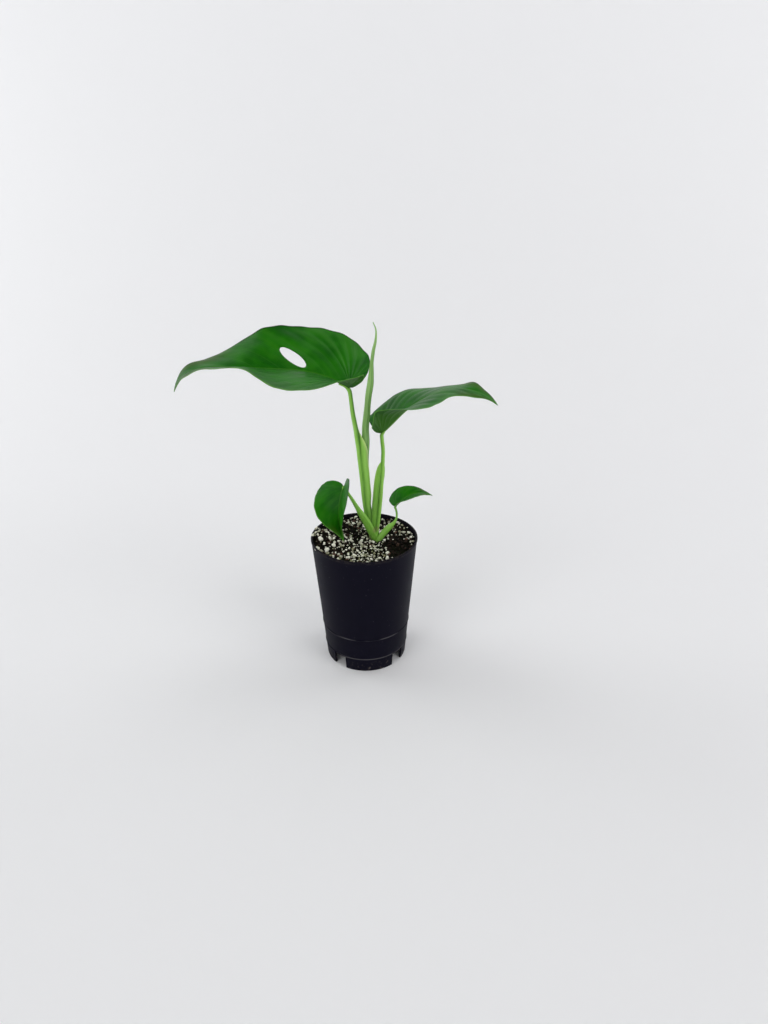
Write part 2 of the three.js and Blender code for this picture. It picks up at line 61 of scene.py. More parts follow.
# Nursery pot: one thin moulding of near-black polypropylene with a plain bead at its rim, two
# narrow ring lines round its wall, and a foot skirt cut by four notches below a raised floor
# that has four drain holes.
RIM_RADIUS, FOOT_RADIUS, POT_HEIGHT, POT_WALL = 41.2, 33.3, 109.2, 1.2
FLOOR_UNDER, FLOOR_TOP, FLOOR_CORNER, BEAD_PROUD = 12.2, 13.6, 1.6, 0.22
LIP_ROUND, BEAD_ROUND, BEAD_DEPTH, BEAD_UNDER = 0.5, 0.6, 1.3, 0.35
RING_HEIGHTS, RING_PROUD, RING_HALF = (12.4, 32.3), 0.35, 0.6
SKIRT_WALL, SKIRT_ROUND = 1.4, 0.4
NOTCH_AZIMUTHS, NOTCH_HALF_ANGLE, NOTCH_TOP = (51, 141, 231, 321), 10.03, 11.6
NOTCH_CELLS, LEG_CELLS = 10, 48
DRAIN_DISTANCE, DRAIN_RADIUS = 23.0, 4.0
MOUTH_STRETCH, MOUTH_SHIFT = np.array([0.03, -0.024, 0]), np.array([-0.6, 1.0, 0])
POT_BLACK, POT_SHEEN, SCUFF_GREY = (0.0022, 0.002, 0.0075), (0.0045, 0.004, 0.012), (0.06, 0.058, 0.062)
RING_GREY, SPECK_GREY = (0.12, 0.115, 0.12), (0.16, 0.16, 0.17)
FOOT_DUST, RIM_DUST = (0.2, 0.17, 0.14), (0.06, 0.048, 0.036)


def wall_radius(z):
    """The wall is a straight cone from the foot to the rim."""
    return FOOT_RADIUS + (RIM_RADIUS - FOOT_RADIUS) * z / POT_HEIGHT


def pressed(points):
    """The mix has pressed the thin wall a little oval, more so towards the rim: wider from side to
    side, narrower from front to back, and a little off its axis."""
    share = np.clip(points[:, 2:] / POT_HEIGHT, 0, 1)
    return points * (1 + share * MOUTH_STRETCH) + share * MOUTH_SHIFT


def arc(middle, radius, start, end, steps):
    """Points on a circle from one angle to another, in degrees, as (outward, up) pairs."""
    angle = np.radians(np.linspace(start, end, steps))
    return np.stack([middle[0] + radius * np.cos(angle), middle[1] + radius * np.sin(angle)], 1)


def grid_cells(rows, columns, ring=False):
    """Corner numbers of a grid's cells, row by row; a ring joins the last column to the first."""
    i, j = np.meshgrid(np.arange(rows - 1), np.arange(columns - (not ring)), indexing="ij")
    i, j = i.ravel(), j.ravel()
    k = (j + 1) % columns
    return np.stack([i * columns + j, i * columns + k, (i + 1) * columns + k, (i + 1) * columns + j], 1)


def pierce(flat, cells, centre, half, angle):
    """An oval hole in a flat sheet of cells: those whose middle lies inside the oval are taken
    out, and the corners left round them slide outwards or inwards on to the oval. Gives the new
    flat places, the kept cells and the hole's edge as pairs of corners."""
    turn = np.radians(angle)
    axes = np.array([[np.cos(turn), np.sin(turn)], [-np.sin(turn), np.cos(turn)]])
    local = (flat - centre) @ axes.T / half
    out = np.hypot(*local[cells].mean(1).T) < 1
    rim = np.intersect1d(cells[out], cells[~out])
    local[rim] /= np.hypot(*local[rim].T)[:, None]
    count = len(flat)

    def edges_of(faces):
        return (faces * count + np.roll(faces, -1, 1)).ravel()

    shared = np.intersect1d(edges_of(cells[~out]), edges_of(cells[out][:, ::-1]))
    return local * half @ axes + centre, cells[~out], np.stack([shared // count, shared % count], 1)


def piece_from(name, points, faces, material, nodes, marks=None, crease=180):
    """One finished mesh. Points are in millimetres, each array of faces has its own number of
    corners, and marks are numbers on the points that the material reads. Corners in one place
    are merged, which closes seams and poles, and the faces are turned outwards."""
    mesh = bpy.data.meshes.new(name)
    mesh.vertices.add(len(points))
    mesh.vertices.foreach_set("co", (points / 1000 + POT_AXIS).astype(np.float32).ravel())
    corners = np.concatenate([f.ravel() for f in faces]).astype(np.int32)
    sizes = np.concatenate([np.full(len(f), f.shape[1]) for f in faces])
    mesh.loops.add(len(corners))
    mesh.loops.foreach_set("vertex_index", corners)
    mesh.polygons.add(len(sizes))
    mesh.polygons.foreach_set("loop_start", (np.cumsum(sizes) - sizes).astype(np.int32))
    mesh.update(calc_edges=True)
    for mark, values in (marks or {}).items():
        field = mesh.attributes.new(mark, "FLOAT", "POINT")
        field.data.foreach_set("value", np.asarray(values, np.float32).ravel())
    work = bmesh.new()
    work.from_mesh(mesh)
    bmesh.ops.remove_doubles(work, verts=work.verts, dist=3e-6)
    bmesh.ops.dissolve_degenerate(work, edges=work.edges, dist=1e-7)
    bmesh.ops.recalc_face_normals(work, faces=work.faces)
    work.to_mesh(mesh)
    work.free()
    mesh.shade_smooth()
    if crease < 180:
        mesh.set_sharp_from_angle(angle=math.radians(crease))
    mesh.materials.append(material)
    piece = bpy.data.objects.new(name, mesh)
    bpy.context.scene.collection.objects.link(piece)
    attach(piece, "root")
    if nodes:
        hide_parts(*nodes)


def feed(tree, node, inputs):
    """Sets a shader node's inputs to numbers or joins them to sockets."""
    for name, value in inputs.items():
        if isinstance(value, bpy.types.NodeSocket):
            tree.links.new(value, node.inputs[name])
        else:
            node.inputs[name].default_value = value


def put(tree, kind, inputs=None, **settings):
    """A new shader node with its settings and inputs."""
    made = tree.nodes.new("ShaderNode" + kind)
    for name, value in settings.items():
        setattr(made, name, value)
    feed(tree, made, inputs or {})
    return made


def math_of(tree, operation, *values, clamp=False):
    """The result of one sum on numbers or sockets."""
    return put(tree, "Math", dict(enumerate(values)), operation=operation, use_clamp=clamp).outputs[0]


def times(tree, first, second, clamp=False):
    """The product of two numbers or sockets."""
    return math_of(tree, "MULTIPLY", first, second, clamp=clamp)


def fade(tree, value, low, high):
    """0 up to the value low and 1 from the value high, with a smooth step between them; low may
    be the greater of the two."""
    made = put(tree, "MapRange", {"Value": value, "From Min": low, "From Max": high},
               interpolation_type="SMOOTHSTEP")
    return made.outputs["Result"]


def noise(tree, place, scale, detail, roughness=0.5):
    """A cloudy pattern between 0 and 1."""
    return put(tree, "TexNoise", {"Vector": place, "Scale": scale, "Detail": detail,
                                  "Roughness": roughness}).outputs["Fac"]


def blend_colours(tree, factor, first, second):
    """Two colours, as triples or sockets, mixed by a factor."""
    first, second = ((*c, 1.0) if isinstance(c, tuple) else c for c in (first, second))
    return put(tree, "Mix", {"Factor": factor, 6: first, 7: second}, data_type="RGBA").outputs[2]


def layered(tree, colour, *layers):
    """A colour with others laid over it in turn, each as much as its mask times its strength."""
    for mask, strength, shade in layers:
        colour = blend_colours(tree, times(tree, mask, strength), colour, shade)
    return colour


def new_material(name):
    """An empty material with its output and one Principled shader."""
    material = bpy.data.materials.new(name)
    material.use_nodes = True
    tree = material.node_tree
    tree.nodes.clear()
    shader = put(tree, "BsdfPrincipled")
    output = put(tree, "OutputMaterial")
    tree.links.new(shader.outputs[0], output.inputs[0])
    return material, tree, shader


def finish(tree, shader, colour, roughness, relief, strength, depth, specular=0.5):
    """Gives a shader its colour, its gloss and the relief that its surface is bumped by."""
    bump = put(tree, "Bump", {"Height": relief, "Strength": strength, "Distance": depth})
    feed(tree, shader, {"Base Color": colour, "Roughness": roughness, "Specular IOR Level": specular,
                        "Normal": bump.outputs[0]})


# the pot's section as radius and height: out along the floor, up the inside, over the rim, down the
# outside past the rings, round the skirt's lower edge and back in under the floor
floor_radii = np.concatenate([[0, 5, 10, 14, 17], np.arange(18, 28.5, 0.7), [30.0]])
bead = RIM_RADIUS + BEAD_PROUD
profile = [np.stack([floor_radii, np.full(len(floor_radii), FLOOR_TOP)], 1)]
profile.append(arc((wall_radius(16) - POT_WALL - FLOOR_CORNER, FLOOR_TOP + FLOOR_CORNER), FLOOR_CORNER, -80, 0, 6))
inner_z = np.linspace(FLOOR_TOP + 4, POT_HEIGHT - BEAD_ROUND, 12)
profile.append(np.stack([wall_radius(inner_z) - POT_WALL, inner_z], 1))
profile.append(arc((RIM_RADIUS - POT_WALL + LIP_ROUND, POT_HEIGHT - LIP_ROUND), LIP_ROUND, 170, 95, 5))
profile.append(arc((bead - BEAD_ROUND, POT_HEIGHT - BEAD_ROUND), BEAD_ROUND, 85, 0, 6))
profile.append(arc((bead - BEAD_UNDER, POT_HEIGHT - BEAD_DEPTH), BEAD_UNDER, 0, -80, 5))
wall_marks = [np.linspace(POT_HEIGHT - 2.4, 36, 14)]
for ring in RING_HEIGHTS[::-1]:
    wall_marks.append(np.linspace(ring + RING_HALF, ring - RING_HALF, 9))
    wall_marks.append(np.linspace(ring - 2, 15, 4) if ring > 20 else np.array([]))
wall_z = np.concatenate(wall_marks)
ring_swell = sum(np.where(np.abs(wall_z - ring) < RING_HALF,
                          np.cos(np.pi * (wall_z - ring) / (2 * RING_HALF)), 0) for ring in RING_HEIGHTS)
profile.append(np.stack([wall_radius(wall_z) + RING_PROUD * np.maximum(ring_swell, 0), wall_z], 1))
skirt_start = sum(len(part) for part in profile)
profile.append(np.array([[wall_radius(NOTCH_TOP), NOTCH_TOP], [wall_radius(6), 6], [wall_radius(0.5), 0.5]]))
profile.append(arc((FOOT_RADIUS - SKIRT_ROUND, SKIRT_ROUND), SKIRT_ROUND, -5, -90, 4))
profile.append(arc((FOOT_RADIUS - SKIRT_WALL, SKIRT_ROUND), SKIRT_ROUND, -90, -175, 4))
profile.append(np.array([[wall_radius(6) - 1.5, 6], [wall_radius(NOTCH_TOP) - SKIRT_WALL, NOTCH_TOP]]))
skirt_end = sum(len(part) for part in profile) - 1
profile.append(np.stack([floor_radii[::-1], np.full(len(floor_radii), FLOOR_UNDER)], 1))
profile = np.concatenate(profile)

# the columns stand at even steps in each notch and in each leg, so that the notches' sides are clean
notch_step = np.linspace(-NOTCH_HALF_ANGLE, NOTCH_HALF_ANGLE, NOTCH_CELLS + 1)
leg_step = np.linspace(NOTCH_HALF_ANGLE, 90 - NOTCH_HALF_ANGLE, LEG_CELLS + 1)
azimuths = np.concatenate([a + np.concatenate([notch_step[:-1], leg_step[:-1]]) for a in NOTCH_AZIMUTHS])
in_notch = np.tile(np.arange(NOTCH_CELLS + LEG_CELLS) < NOTCH_CELLS, len(NOTCH_AZIMUTHS))
columns = len(azimuths)
turn = np.radians(azimuths)
ring_points = np.stack([profile[:, :1] * np.cos(turn), profile[:, :1] * np.sin(turn),
                        np.repeat(profile[:, 1:], columns, 1)], 2).reshape(-1, 3)
cells = grid_cells(len(profile), columns, ring=True)
cell_row, cell_column = cells[:, 0] // columns, cells[:, 0] % columns
cut_out = (cell_row >= skirt_start) & (cell_row < skirt_end) & in_notch[cell_column]
floor_rows = len(floor_radii) - 1
last_row = len(profile) - 1
top_floor = cell_row < floor_rows
under_floor = cell_row >= last_row - floor_rows
pot_faces = [cells[~cut_out & ~top_floor & ~under_floor]]
top_cells = cells[top_floor]
under_of = ((last_row - np.arange(len(profile)))[:, None] * columns + np.arange(columns)).ravel()
flat = ring_points[:, :2].copy()
for azimuth in NOTCH_AZIMUTHS:
    middle = DRAIN_DISTANCE * np.array([math.cos(math.radians(azimuth)), math.sin(math.radians(azimuth))])
    flat, top_cells, hole_edge = pierce(flat, top_cells, middle, np.array([DRAIN_RADIUS] * 2), 0)
    pot_faces.append(np.concatenate([hole_edge[:, ::-1], under_of[hole_edge]], 1))
moved = np.arange((floor_rows + 1) * columns)
ring_points[moved, :2] = flat[moved]
ring_points[under_of[moved], :2] = flat[moved]
pot_faces += [top_cells, under_of[top_cells][:, ::-1]]

# each notch gets a roof between the two skins of the skirt, and each leg its two ends
notch_starts = range(0, columns, NOTCH_CELLS + LEG_CELLS)
for start in notch_starts:
    here = start + np.arange(NOTCH_CELLS)
    after = here + 1
    pot_faces.append(np.stack([skirt_start * columns + here, skirt_start * columns + after,
                               skirt_end * columns + after, skirt_end * columns + here], 1))
skirt_rows = np.arange(skirt_start, skirt_end + 1)
for start in notch_starts:
    for side in (start, start + NOTCH_CELLS):
        pot_faces.append((skirt_rows * columns + side)[None, ::-1 if side == start else 1])

pot_plastic, tree, shader = new_material("pot_plastic")
place = put(tree, "TexCoord").outputs["Object"]
height = put(tree, "SeparateXYZ", {0: place}).outputs["Z"]
cloud, grime = noise(tree, place, 45.0, 4.0), noise(tree, place, 420.0, 3.0)
stretched = put(tree, "Mapping", {"Vector": place, "Scale": (60.0, 60.0, 900.0)}).outputs[0]
scuff = fade(tree, noise(tree, stretched, 1.0, 5.0), 0.66, 0.8)
off_rings = [math_of(tree, "ABSOLUTE", math_of(tree, "SUBTRACT", height, POT_AXIS[2] + ring / 1000))
             for ring in RING_HEIGHTS]
near_ring = math_of(tree, "MAXIMUM", *(fade(tree, off_ring, 0.0008, 0.0002) for off_ring in off_rings))
ring_wear = times(tree, near_ring, fade(tree, cloud, 0.42, 0.62))

# dust clings to the lowest 12 mm of the foot and to the bead
foot_dust = times(tree, fade(tree, height, POT_AXIS[2] + 0.012, POT_AXIS[2] + 0.001), fade(tree, grime, 0.55, 0.7))
rim_dust = times(tree, fade(tree, height, POT_AXIS[2] + 0.1055, POT_AXIS[2] + 0.109), fade(tree, grime, 0.35, 0.7))
speck = fade(tree, noise(tree, place, 700.0, 1.0), 0.74, 0.8)
black = layered(tree, blend_colours(tree, cloud, POT_BLACK, POT_SHEEN),
                (scuff, 0.25, SCUFF_GREY), (ring_wear, 0.6, RING_GREY), (speck, 0.3, SPECK_GREY),
                (foot_dust, 0.4, FOOT_DUST), (rim_dust, 0.35, RIM_DUST))
finish(tree, shader, black, roughness=math_of(tree, "ADD", 0.42, times(tree, cloud, 0.16)), specular=0.06,
       relief=noise(tree, place, 2600.0, 2.0), strength=0.25, depth=0.00004)
piece_from("nursery_pot", pressed(ring_points), pot_faces, pot_plastic, ["pot"], crease=40)

# Potting mix: a loose fill of composted bark and peat, dark and damp, poured to just under the
# rim and heaped against it at the left, with swollen white perlite grains worked in by hand.
MIX_EDGE_Z, MOUND_RISE, HEAP_RISE = 106.7, 1.2, 1.6
MIX_RADIUS = wall_radius(MIX_EDGE_Z) - POT_WALL - 0.15
BED_RINGS, BED_COLUMNS = 60, 180
# soft patches of the surface, each with the x and y of its middle and its reach both ways
MOUND, HEAP, MOSSY = ((-6, 6), (26, 26)), ((-37, 7), (12, 16)), ((2, -22), (17, 15))
PERLITE_FRONT, PERLITE_BARE = ((1, -24), (15, 16)), ((23, -15), (9, 11))
PEAT_DARK, PEAT_BROWN = (0.0016, 0.0016, 0.0009), (0.010, 0.010, 0.004)
MOSS_ON_PEAT, MOSS_ON_BARK, MOSS_ON_PERLITE = (0.02, 0.04, 0.006), (0.06, 0.12, 0.014), (0.32, 0.42, 0.07)
BARK_DARK, BARK_PINK = (0.0022, 0.0019, 0.0013), (0.16, 0.09, 0.065)
PERLITE_DIM, PERLITE_WHITE = (0.2, 0.19, 0.09), (1.0, 0.99, 0.86)
GRAINS_WANTED, CHIPS_WANTED, SPILT_COUNT = 400, 680, 9
STUMP_PLACE, STUMP_ROOM = (8.6, 0.6), 6.4
draw = np.random.default_rng(11)


def waves(points, wavelength, seed, count=9):
    """A rolling unevenness between about -1 and 1: the mean of some sine waves of one length that
    run in random directions."""
    source = np.random.default_rng(seed)
    directions = source.normal(size=(count, points.shape[1]))
    directions *= 2 * np.pi / wavelength / np.linalg.norm(directions, axis=1)[:, None]
    phases = source.uniform(0, 2 * np.pi, count)
    return np.sin(points @ directions.T + phases).sum(1) / count ** 0.5


def patch(x, y, middle, reach):
    """A bell over the surface: 1 at the middle, and fading away over its reach along x and y."""
    return np.exp(-((x - middle[0]) / reach[0]) ** 2 - ((y - middle[1]) / reach[1]) ** 2)


def mix_height(x, y):
    """Height of the mix: level, with one low round mound, and heaped against the rim at the left."""
    return MIX_EDGE_Z + MOUND_RISE * patch(x, y, *MOUND) + HEAP_RISE * patch(x, y, *HEAP)


def moss_share(x, y):
    """A thin yellow-green film of moss has begun in front, where it is dampest."""
    return patch(x, y, *MOSSY)


def crumb_shapes(count, detail, rough, seed):
    """Rounded lumps for grains and chips: a ball of triangles whose points move in and out by two
    sizes of unevenness, a different one for each shape."""
    work = bmesh.new()
    bmesh.ops.create_icosphere(work, subdivisions=detail, radius=1.0)
    ball = np.array([v.co for v in work.verts])
    faces = np.array([[v.index for v in f.verts] for f in work.faces])
    work.free()
    shapes = []
    for k in range(count):
        swell = 1 + rough * waves(ball, 2.2, seed + 3 * k) + 0.5 * rough * waves(ball, 0.9, seed + 3 * k + 1)
        shapes.append(ball * swell[:, None])
    return np.array(shapes), faces


def strewn(places, sizes, shapes, shape_faces, flatness):
    """Many copies of some lumps, each turned at random, flattened by its own share and set down at
    its place. Gives the points, the faces and which copy each point belongs to."""
    count, per_shape = len(places), shapes.shape[1]
    chosen = shapes[draw.integers(0, len(shapes), count)]
    chosen = chosen * np.stack([np.ones(count), draw.uniform(0.65, 1.0, count), flatness], 1)[:, None]
    tilt = draw.normal(scale=0.45, size=(count, 2))
    spin = draw.uniform(0, 2 * np.pi, count)
    cs, sn = np.cos(spin), np.sin(spin)
    turns = np.zeros((count, 3, 3))
    turns[:, 0, 0], turns[:, 0, 1], turns[:, 1, 0], turns[:, 1, 1], turns[:, 2, 2] = cs, -sn, sn, cs, 1
    tip = np.zeros((count, 3, 3))
    ct, st = np.cos(tilt[:, 0]), np.sin(tilt[:, 0])
    tip[:, 0, 0], tip[:, 1, 1], tip[:, 1, 2], tip[:, 2, 1], tip[:, 2, 2] = 1, ct, -st, st, ct
    points = np.einsum("nij,njk,npk->npi", turns, tip, chosen) * sizes[:, None, None] + places[:, None]
    faces = shape_faces[None] + (np.arange(count) * per_shape)[:, None, None]
    return points.reshape(-1, 3), faces.reshape(-1, 3), np.repeat(np.arange(count), per_shape)


def settle(wanted, size_of, chance_of, clear_share, room):
    """Random places on the mix for grains that may touch but not sit inside each other. The chance
    of a grain differs from place to place."""
    places, sizes = np.zeros((0, 2)), np.zeros(0)
    for _ in range(wanted * 30):
        if len(places) == wanted:
            break
        radius, angle = room * math.sqrt(draw.uniform()), draw.uniform(0, 2 * math.pi)
        spot = np.array([radius * math.cos(angle), radius * math.sin(angle)])
        size = size_of()
        if draw.uniform() > chance_of(*spot):
            continue
        gaps = np.hypot(*(places - spot).T) - clear_share * (sizes + size)
        if len(gaps) == 0 or gaps.min() > 0:
            places, sizes = np.vstack([places, spot]), np.append(sizes, size)
    return places, sizes


# the bed: rings from its middle out to the wall, then down the wall and back in along the floor
bed_radii = np.linspace(0, 1, BED_RINGS) ** 0.8 * MIX_RADIUS
bed_turn = np.linspace(0, 2 * np.pi, BED_COLUMNS, endpoint=False)
bed_x, bed_y = bed_radii[:, None] * np.cos(bed_turn), bed_radii[:, None] * np.sin(bed_turn)
bed = np.stack([bed_x, bed_y, mix_height(bed_x, bed_y)], 2).reshape(-1, 3)
bed[:, 2] += 0.5 * waves(bed[:, :2], 5.0, 3) + 0.4 * waves(bed[:, :2], 1.9, 4) - 1.5
side_z = np.array([60.0, FLOOR_TOP + 4, FLOOR_TOP + 0.3])
side_radius = np.array([wall_radius(60) - 1.5, wall_radius(18) - 1.5, wall_radius(FLOOR_TOP) - 4.6])
side = np.stack([side_radius[:, None] * np.cos(bed_turn), side_radius[:, None] * np.sin(bed_turn),
                 np.repeat(side_z[:, None], BED_COLUMNS, 1)], 2).reshape(-1, 3)
bed_points = np.concatenate([bed, side, np.tile([0, 0, side_z[-1]], (BED_COLUMNS, 1))])
bed_cells = grid_cells(len(bed_points) // BED_COLUMNS, BED_COLUMNS, ring=True)


def crumb_grain(name):
    """Shader group for anything broken and porous: speckle between two tones, and its relief."""
    group = bpy.data.node_groups.new(name, "ShaderNodeTree")
    for label, kind, value in (("Dark", "NodeSocketColor", None), ("Light", "NodeSocketColor", None),
                               ("Scale", "NodeSocketFloat", 500.0), ("Tint", "NodeSocketFloat", 0.5)):
        socket = group.interface.new_socket(label, in_out="INPUT", socket_type=kind)
        if value is not None:
            socket.default_value = value
    group.interface.new_socket("Color", in_out="OUTPUT", socket_type="NodeSocketColor")
    group.interface.new_socket("Relief", in_out="OUTPUT", socket_type="NodeSocketFloat")
    given = group.nodes.new("NodeGroupInput").outputs
    result = group.nodes.new("NodeGroupOutput").inputs
    where = put(group, "TexCoord").outputs["Object"]
    speckle = noise(group, where, given["Scale"], 6.0, roughness=0.65)
    pores = put(group, "TexVoronoi", {"Vector": where, "Scale": times(group, given["Scale"], 2.2)})
    pits = fade(group, pores.outputs["Distance"], 0.0, 0.45)
    tone = math_of(group, "ADD", times(group, fade(group, speckle, 0.3, 0.7), 0.6),
                   times(group, given["Tint"], 0.4), clamp=True)
    colour = blend_colours(group, tone, given["Dark"], given["Light"])
    group.links.new(colour, result["Color"])
    group.links.new(math_of(group, "ADD", speckle, times(group, pits, 0.5)), result["Relief"])
    return group


CRUMB_GRAIN = crumb_grain("crumb_grain")


def mark_of(tree, name):
    """A number that the mesh carries on its points."""
    return put(tree, "Attribute", attribute_name=name).outputs["Fac"]


def crumb_material(name, dark, light, moss, scale, roughness, depth):
    """Dull, pitted material of a grain or chip. The tint mark is the shade that each one was given,
    and the moss mark says how much of the moss colour covers it."""
    material, tree, shader = new_material(name)
    group = tree.nodes.new("ShaderNodeGroup")
    group.node_tree = CRUMB_GRAIN
    feed(tree, group, {"Dark": (*dark, 1), "Light": (*light, 1), "Scale": scale, "Tint": mark_of(tree, "tint")})
    film = times(tree, mark_of(tree, "moss"), fade(tree, group.outputs["Relief"], 1.0, 0.6))
    finish(tree, shader, blend_colours(tree, film, group.outputs["Color"], moss), roughness, specular=0.1,
           relief=group.outputs["Relief"], strength=0.8, depth=depth)
    return material


peat = crumb_material("peat", PEAT_DARK, PEAT_BROWN, MOSS_ON_PEAT, scale=700.0, roughness=0.95, depth=0.0004)
piece_from("peat_bed", pressed(bed_points), [bed_cells], peat, ["potting_mix"],
           {"tint": np.full(len(bed_points), 0.5), "moss": moss_share(*bed_points[:, :2].T)})


def round_stems(x, y):
    """True where stalks and sheaths rise from the mix, which no grain covers."""
    return math.hypot(x - STUMP_PLACE[0], y - STUMP_PLACE[1]) < STUMP_ROOM


def perlite_chance(x, y):
    """Perlite lies thickest in front, thinner elsewhere, and is almost missing at the front right."""
    if round_stems(x, y):
        return 0.0
    return max(0.2 + 0.8 * patch(x, y, *PERLITE_FRONT) - 0.6 * patch(x, y, *PERLITE_BARE), 0.02)


GRAIN_RADII, GRAIN_CHANCES = [0.45, 0.7, 1.0, 1.4, 1.9], [0.32, 0.26, 0.22, 0.14, 0.06]
grain_spots, grain_sizes = settle(
    GRAINS_WANTED, lambda: draw.choice(GRAIN_RADII, p=GRAIN_CHANCES) * draw.uniform(0.85, 1.15),
    perlite_chance, clear_share=0.95, room=MIX_RADIUS - 0.6)
grain_shapes, ball_faces = crumb_shapes(count=14, detail=2, rough=0.36, seed=50)
grain_heights = mix_height(*grain_spots.T) + draw.uniform(-0.5, 0.5, len(grain_spots)) + 0.15 * grain_sizes
grain_places = np.column_stack([grain_spots, grain_heights])

# some grains were heaped over the rim at the left
spilt_turn = np.radians(draw.uniform(160, 181, SPILT_COUNT))
spilt_radius = draw.uniform(38.6, RIM_RADIUS, SPILT_COUNT)
spilt = np.column_stack([spilt_radius * np.cos(spilt_turn), spilt_radius * np.sin(spilt_turn),
                         POT_HEIGHT + draw.uniform(-0.2, 0.7, SPILT_COUNT) + 0.5 * (spilt_radius > 39.8)])
grain_places = np.vstack([grain_places, spilt])
grain_sizes = np.append(grain_sizes, draw.uniform(0.6, 1.3, SPILT_COUNT))
points, faces, owner = strewn(pressed(grain_places), grain_sizes, grain_shapes, ball_faces,
                              draw.uniform(0.5, 0.95, len(grain_sizes)))
grain_moss = draw.uniform(0.25, 1.4, len(grain_sizes)) ** 2 * moss_share(*grain_places[:, :2].T) + 0.2
perlite = crumb_material("perlite", PERLITE_DIM, PERLITE_WHITE, MOSS_ON_PERLITE,
                         scale=900.0, roughness=0.7, depth=0.0003)
piece_from("perlite_grains", points, [faces], perlite, [],
           {"tint": draw.uniform(-0.7, 2.4, len(grain_sizes))[owner], "moss": grain_moss[owner]})

chip_spots, chip_sizes = settle(
    CHIPS_WANTED, lambda: draw.uniform(0.7, 1.9), lambda x, y: 0.0 if round_stems(x, y) else 1.0,
    clear_share=0.42, room=MIX_RADIUS - 1.0)
chip_shapes, chip_faces = crumb_shapes(count=10, detail=1, rough=0.3, seed=200)
chip_heights = mix_height(*chip_spots.T) + draw.uniform(-1.5, -0.2, len(chip_spots))
chip_places = np.column_stack([chip_spots, chip_heights])
points, faces, owner = strewn(pressed(chip_places), chip_sizes, chip_shapes, chip_faces,
                              draw.uniform(0.3, 0.6, len(chip_sizes)))
bark = crumb_material("bark", BARK_DARK, BARK_PINK, MOSS_ON_BARK, scale=500.0, roughness=0.85, depth=0.0004)
chip_moss = draw.uniform(0, 1, len(chip_sizes)) * moss_share(*chip_spots.T)
chip_tint = 2.4 * draw.uniform(0, 1, len(chip_sizes)) ** 16 - 0.7
piece_from("bark_chips", points, [faces], bark, [],
           {"tint": chip_tint[owner], "moss": chip_moss[owner]}, crease=35)

# Leaf blades: each a thin, leathery, waxy sheet that grew in one with its stalk. Side veins sink
# a little into its upper face and stand out below, a midrib runs to a drawn-out drip tip, and the
# largest has one oval hole that opened as it unrolled.
VEIN_INDEX = [0, 0.06, 0.13, 0.21, 0.29, 0.37, 0.46, 0.56, 0.66, 0.76, 0.86, 0.94, 1]
EDGE_ALONG = [-0.012, -0.065, -0.105, -0.095, -0.03, 0.07, 0.2, 0.36, 0.52, 0.67, 0.81, 0.92, 1]
EDGE_HALF = [0.012, 0.045, 0.12, 0.21, 0.295, 0.345, 0.365, 0.345, 0.285, 0.2, 0.105, 0.035, 0]
FIRST_MIDRIB_VEIN, VEIN_SPREAD, VEIN_ARCH = 0.54, 1.4, 1.25
PITCH_AT = [0, 0.15, 0.35, 0.55, 0.72, 0.8, 0.86, 0.92, 1]
HEADING_AT = [0, 0.4, 0.8, 1]
FOLD_AT = [-0.11, 0, 0.12, 0.3, 0.5, 0.68, 0.78, 0.86, 0.93, 1]
LEAVES = {
    "leaf_1": dict(
        length=137.4, width=0.94, lobes=(0.4, 0.5), junction=(-10.3, -7.8, 236.2), curl=(-0.4, -0.32),
        pitch=[31, 15, 0, 2, -3, -11, -24, -54, -72], heading=[173, 174, 180, 179],
        fold=([75, 36, 13, 6, 20, 16, 12, -5, -19, -29], [32, 27, 29, 29, 35, 15, 8, 20, 22, 34]),
        cells=(230, 46), laterals=17, thickness=0.5, rib=0.8, quilt=0.34, pale_edge=0,
        hole=dict(centre=(43.3, 12.2), half=(13.1, 4.4), angle=40, side=1)),
    "leaf_2": dict(
        length=100.0, width=0.86, lobes=(0.3, 0.25), junction=(13.7, 5.2, 196.0), curl=(-0.72, -0.29),
        pitch=[38, 45, 32, 19, -3, -13, -18, -32, -48], heading=[13, 4, -20, -10],
        fold=([36, 19, 15, 10, -5, -4, 16, 10, 19, 30], [34, 47, 52, 21, 2, 0, -6, -10, -10, -16]),
        cells=(190, 36), laterals=15, thickness=0.45, rib=0.6, quilt=0.26, pale_edge=1),
    "leaf_3": dict(
        length=42.4, width=1.41, lobes=(0.7, 0.7), junction=(-14.8, -13.7, 160.6), curl=(-0.43, -0.45),
        pitch=[-41, -54, -68, -75, -71, -66, -63, -60, -58], heading=[244, 257, 300, 301],
        fold=([68, 62, 61, 64, 79, 99, 106, 100, 77, 53], [1, -3, -3, 2, 12, 19, 22, 18, 12, 5]),
        cells=(120, 26), laterals=12, thickness=0.4, rib=0.35, quilt=0.06, pale_edge=1),
    "leaf_4": dict(
        length=33.8, width=0.95, lobes=(0.3, 0.3), junction=(23.7, 2.4, 135.2), curl=(-0.53, 0.0),
        pitch=[27, 41, 27, 10, -5, -15, -20, -23, -27], heading=[22, 13, 9, 7],
        fold=([12, 16, 24, 30, 27, 21, 15, 14, 14, 14], [19, 34, 37, 21, 12, 9, 5, -2, -8, -12]),
        cells=(110, 22), laterals=10, thickness=0.4, rib=0.3, quilt=0.06, pale_edge=1),
}


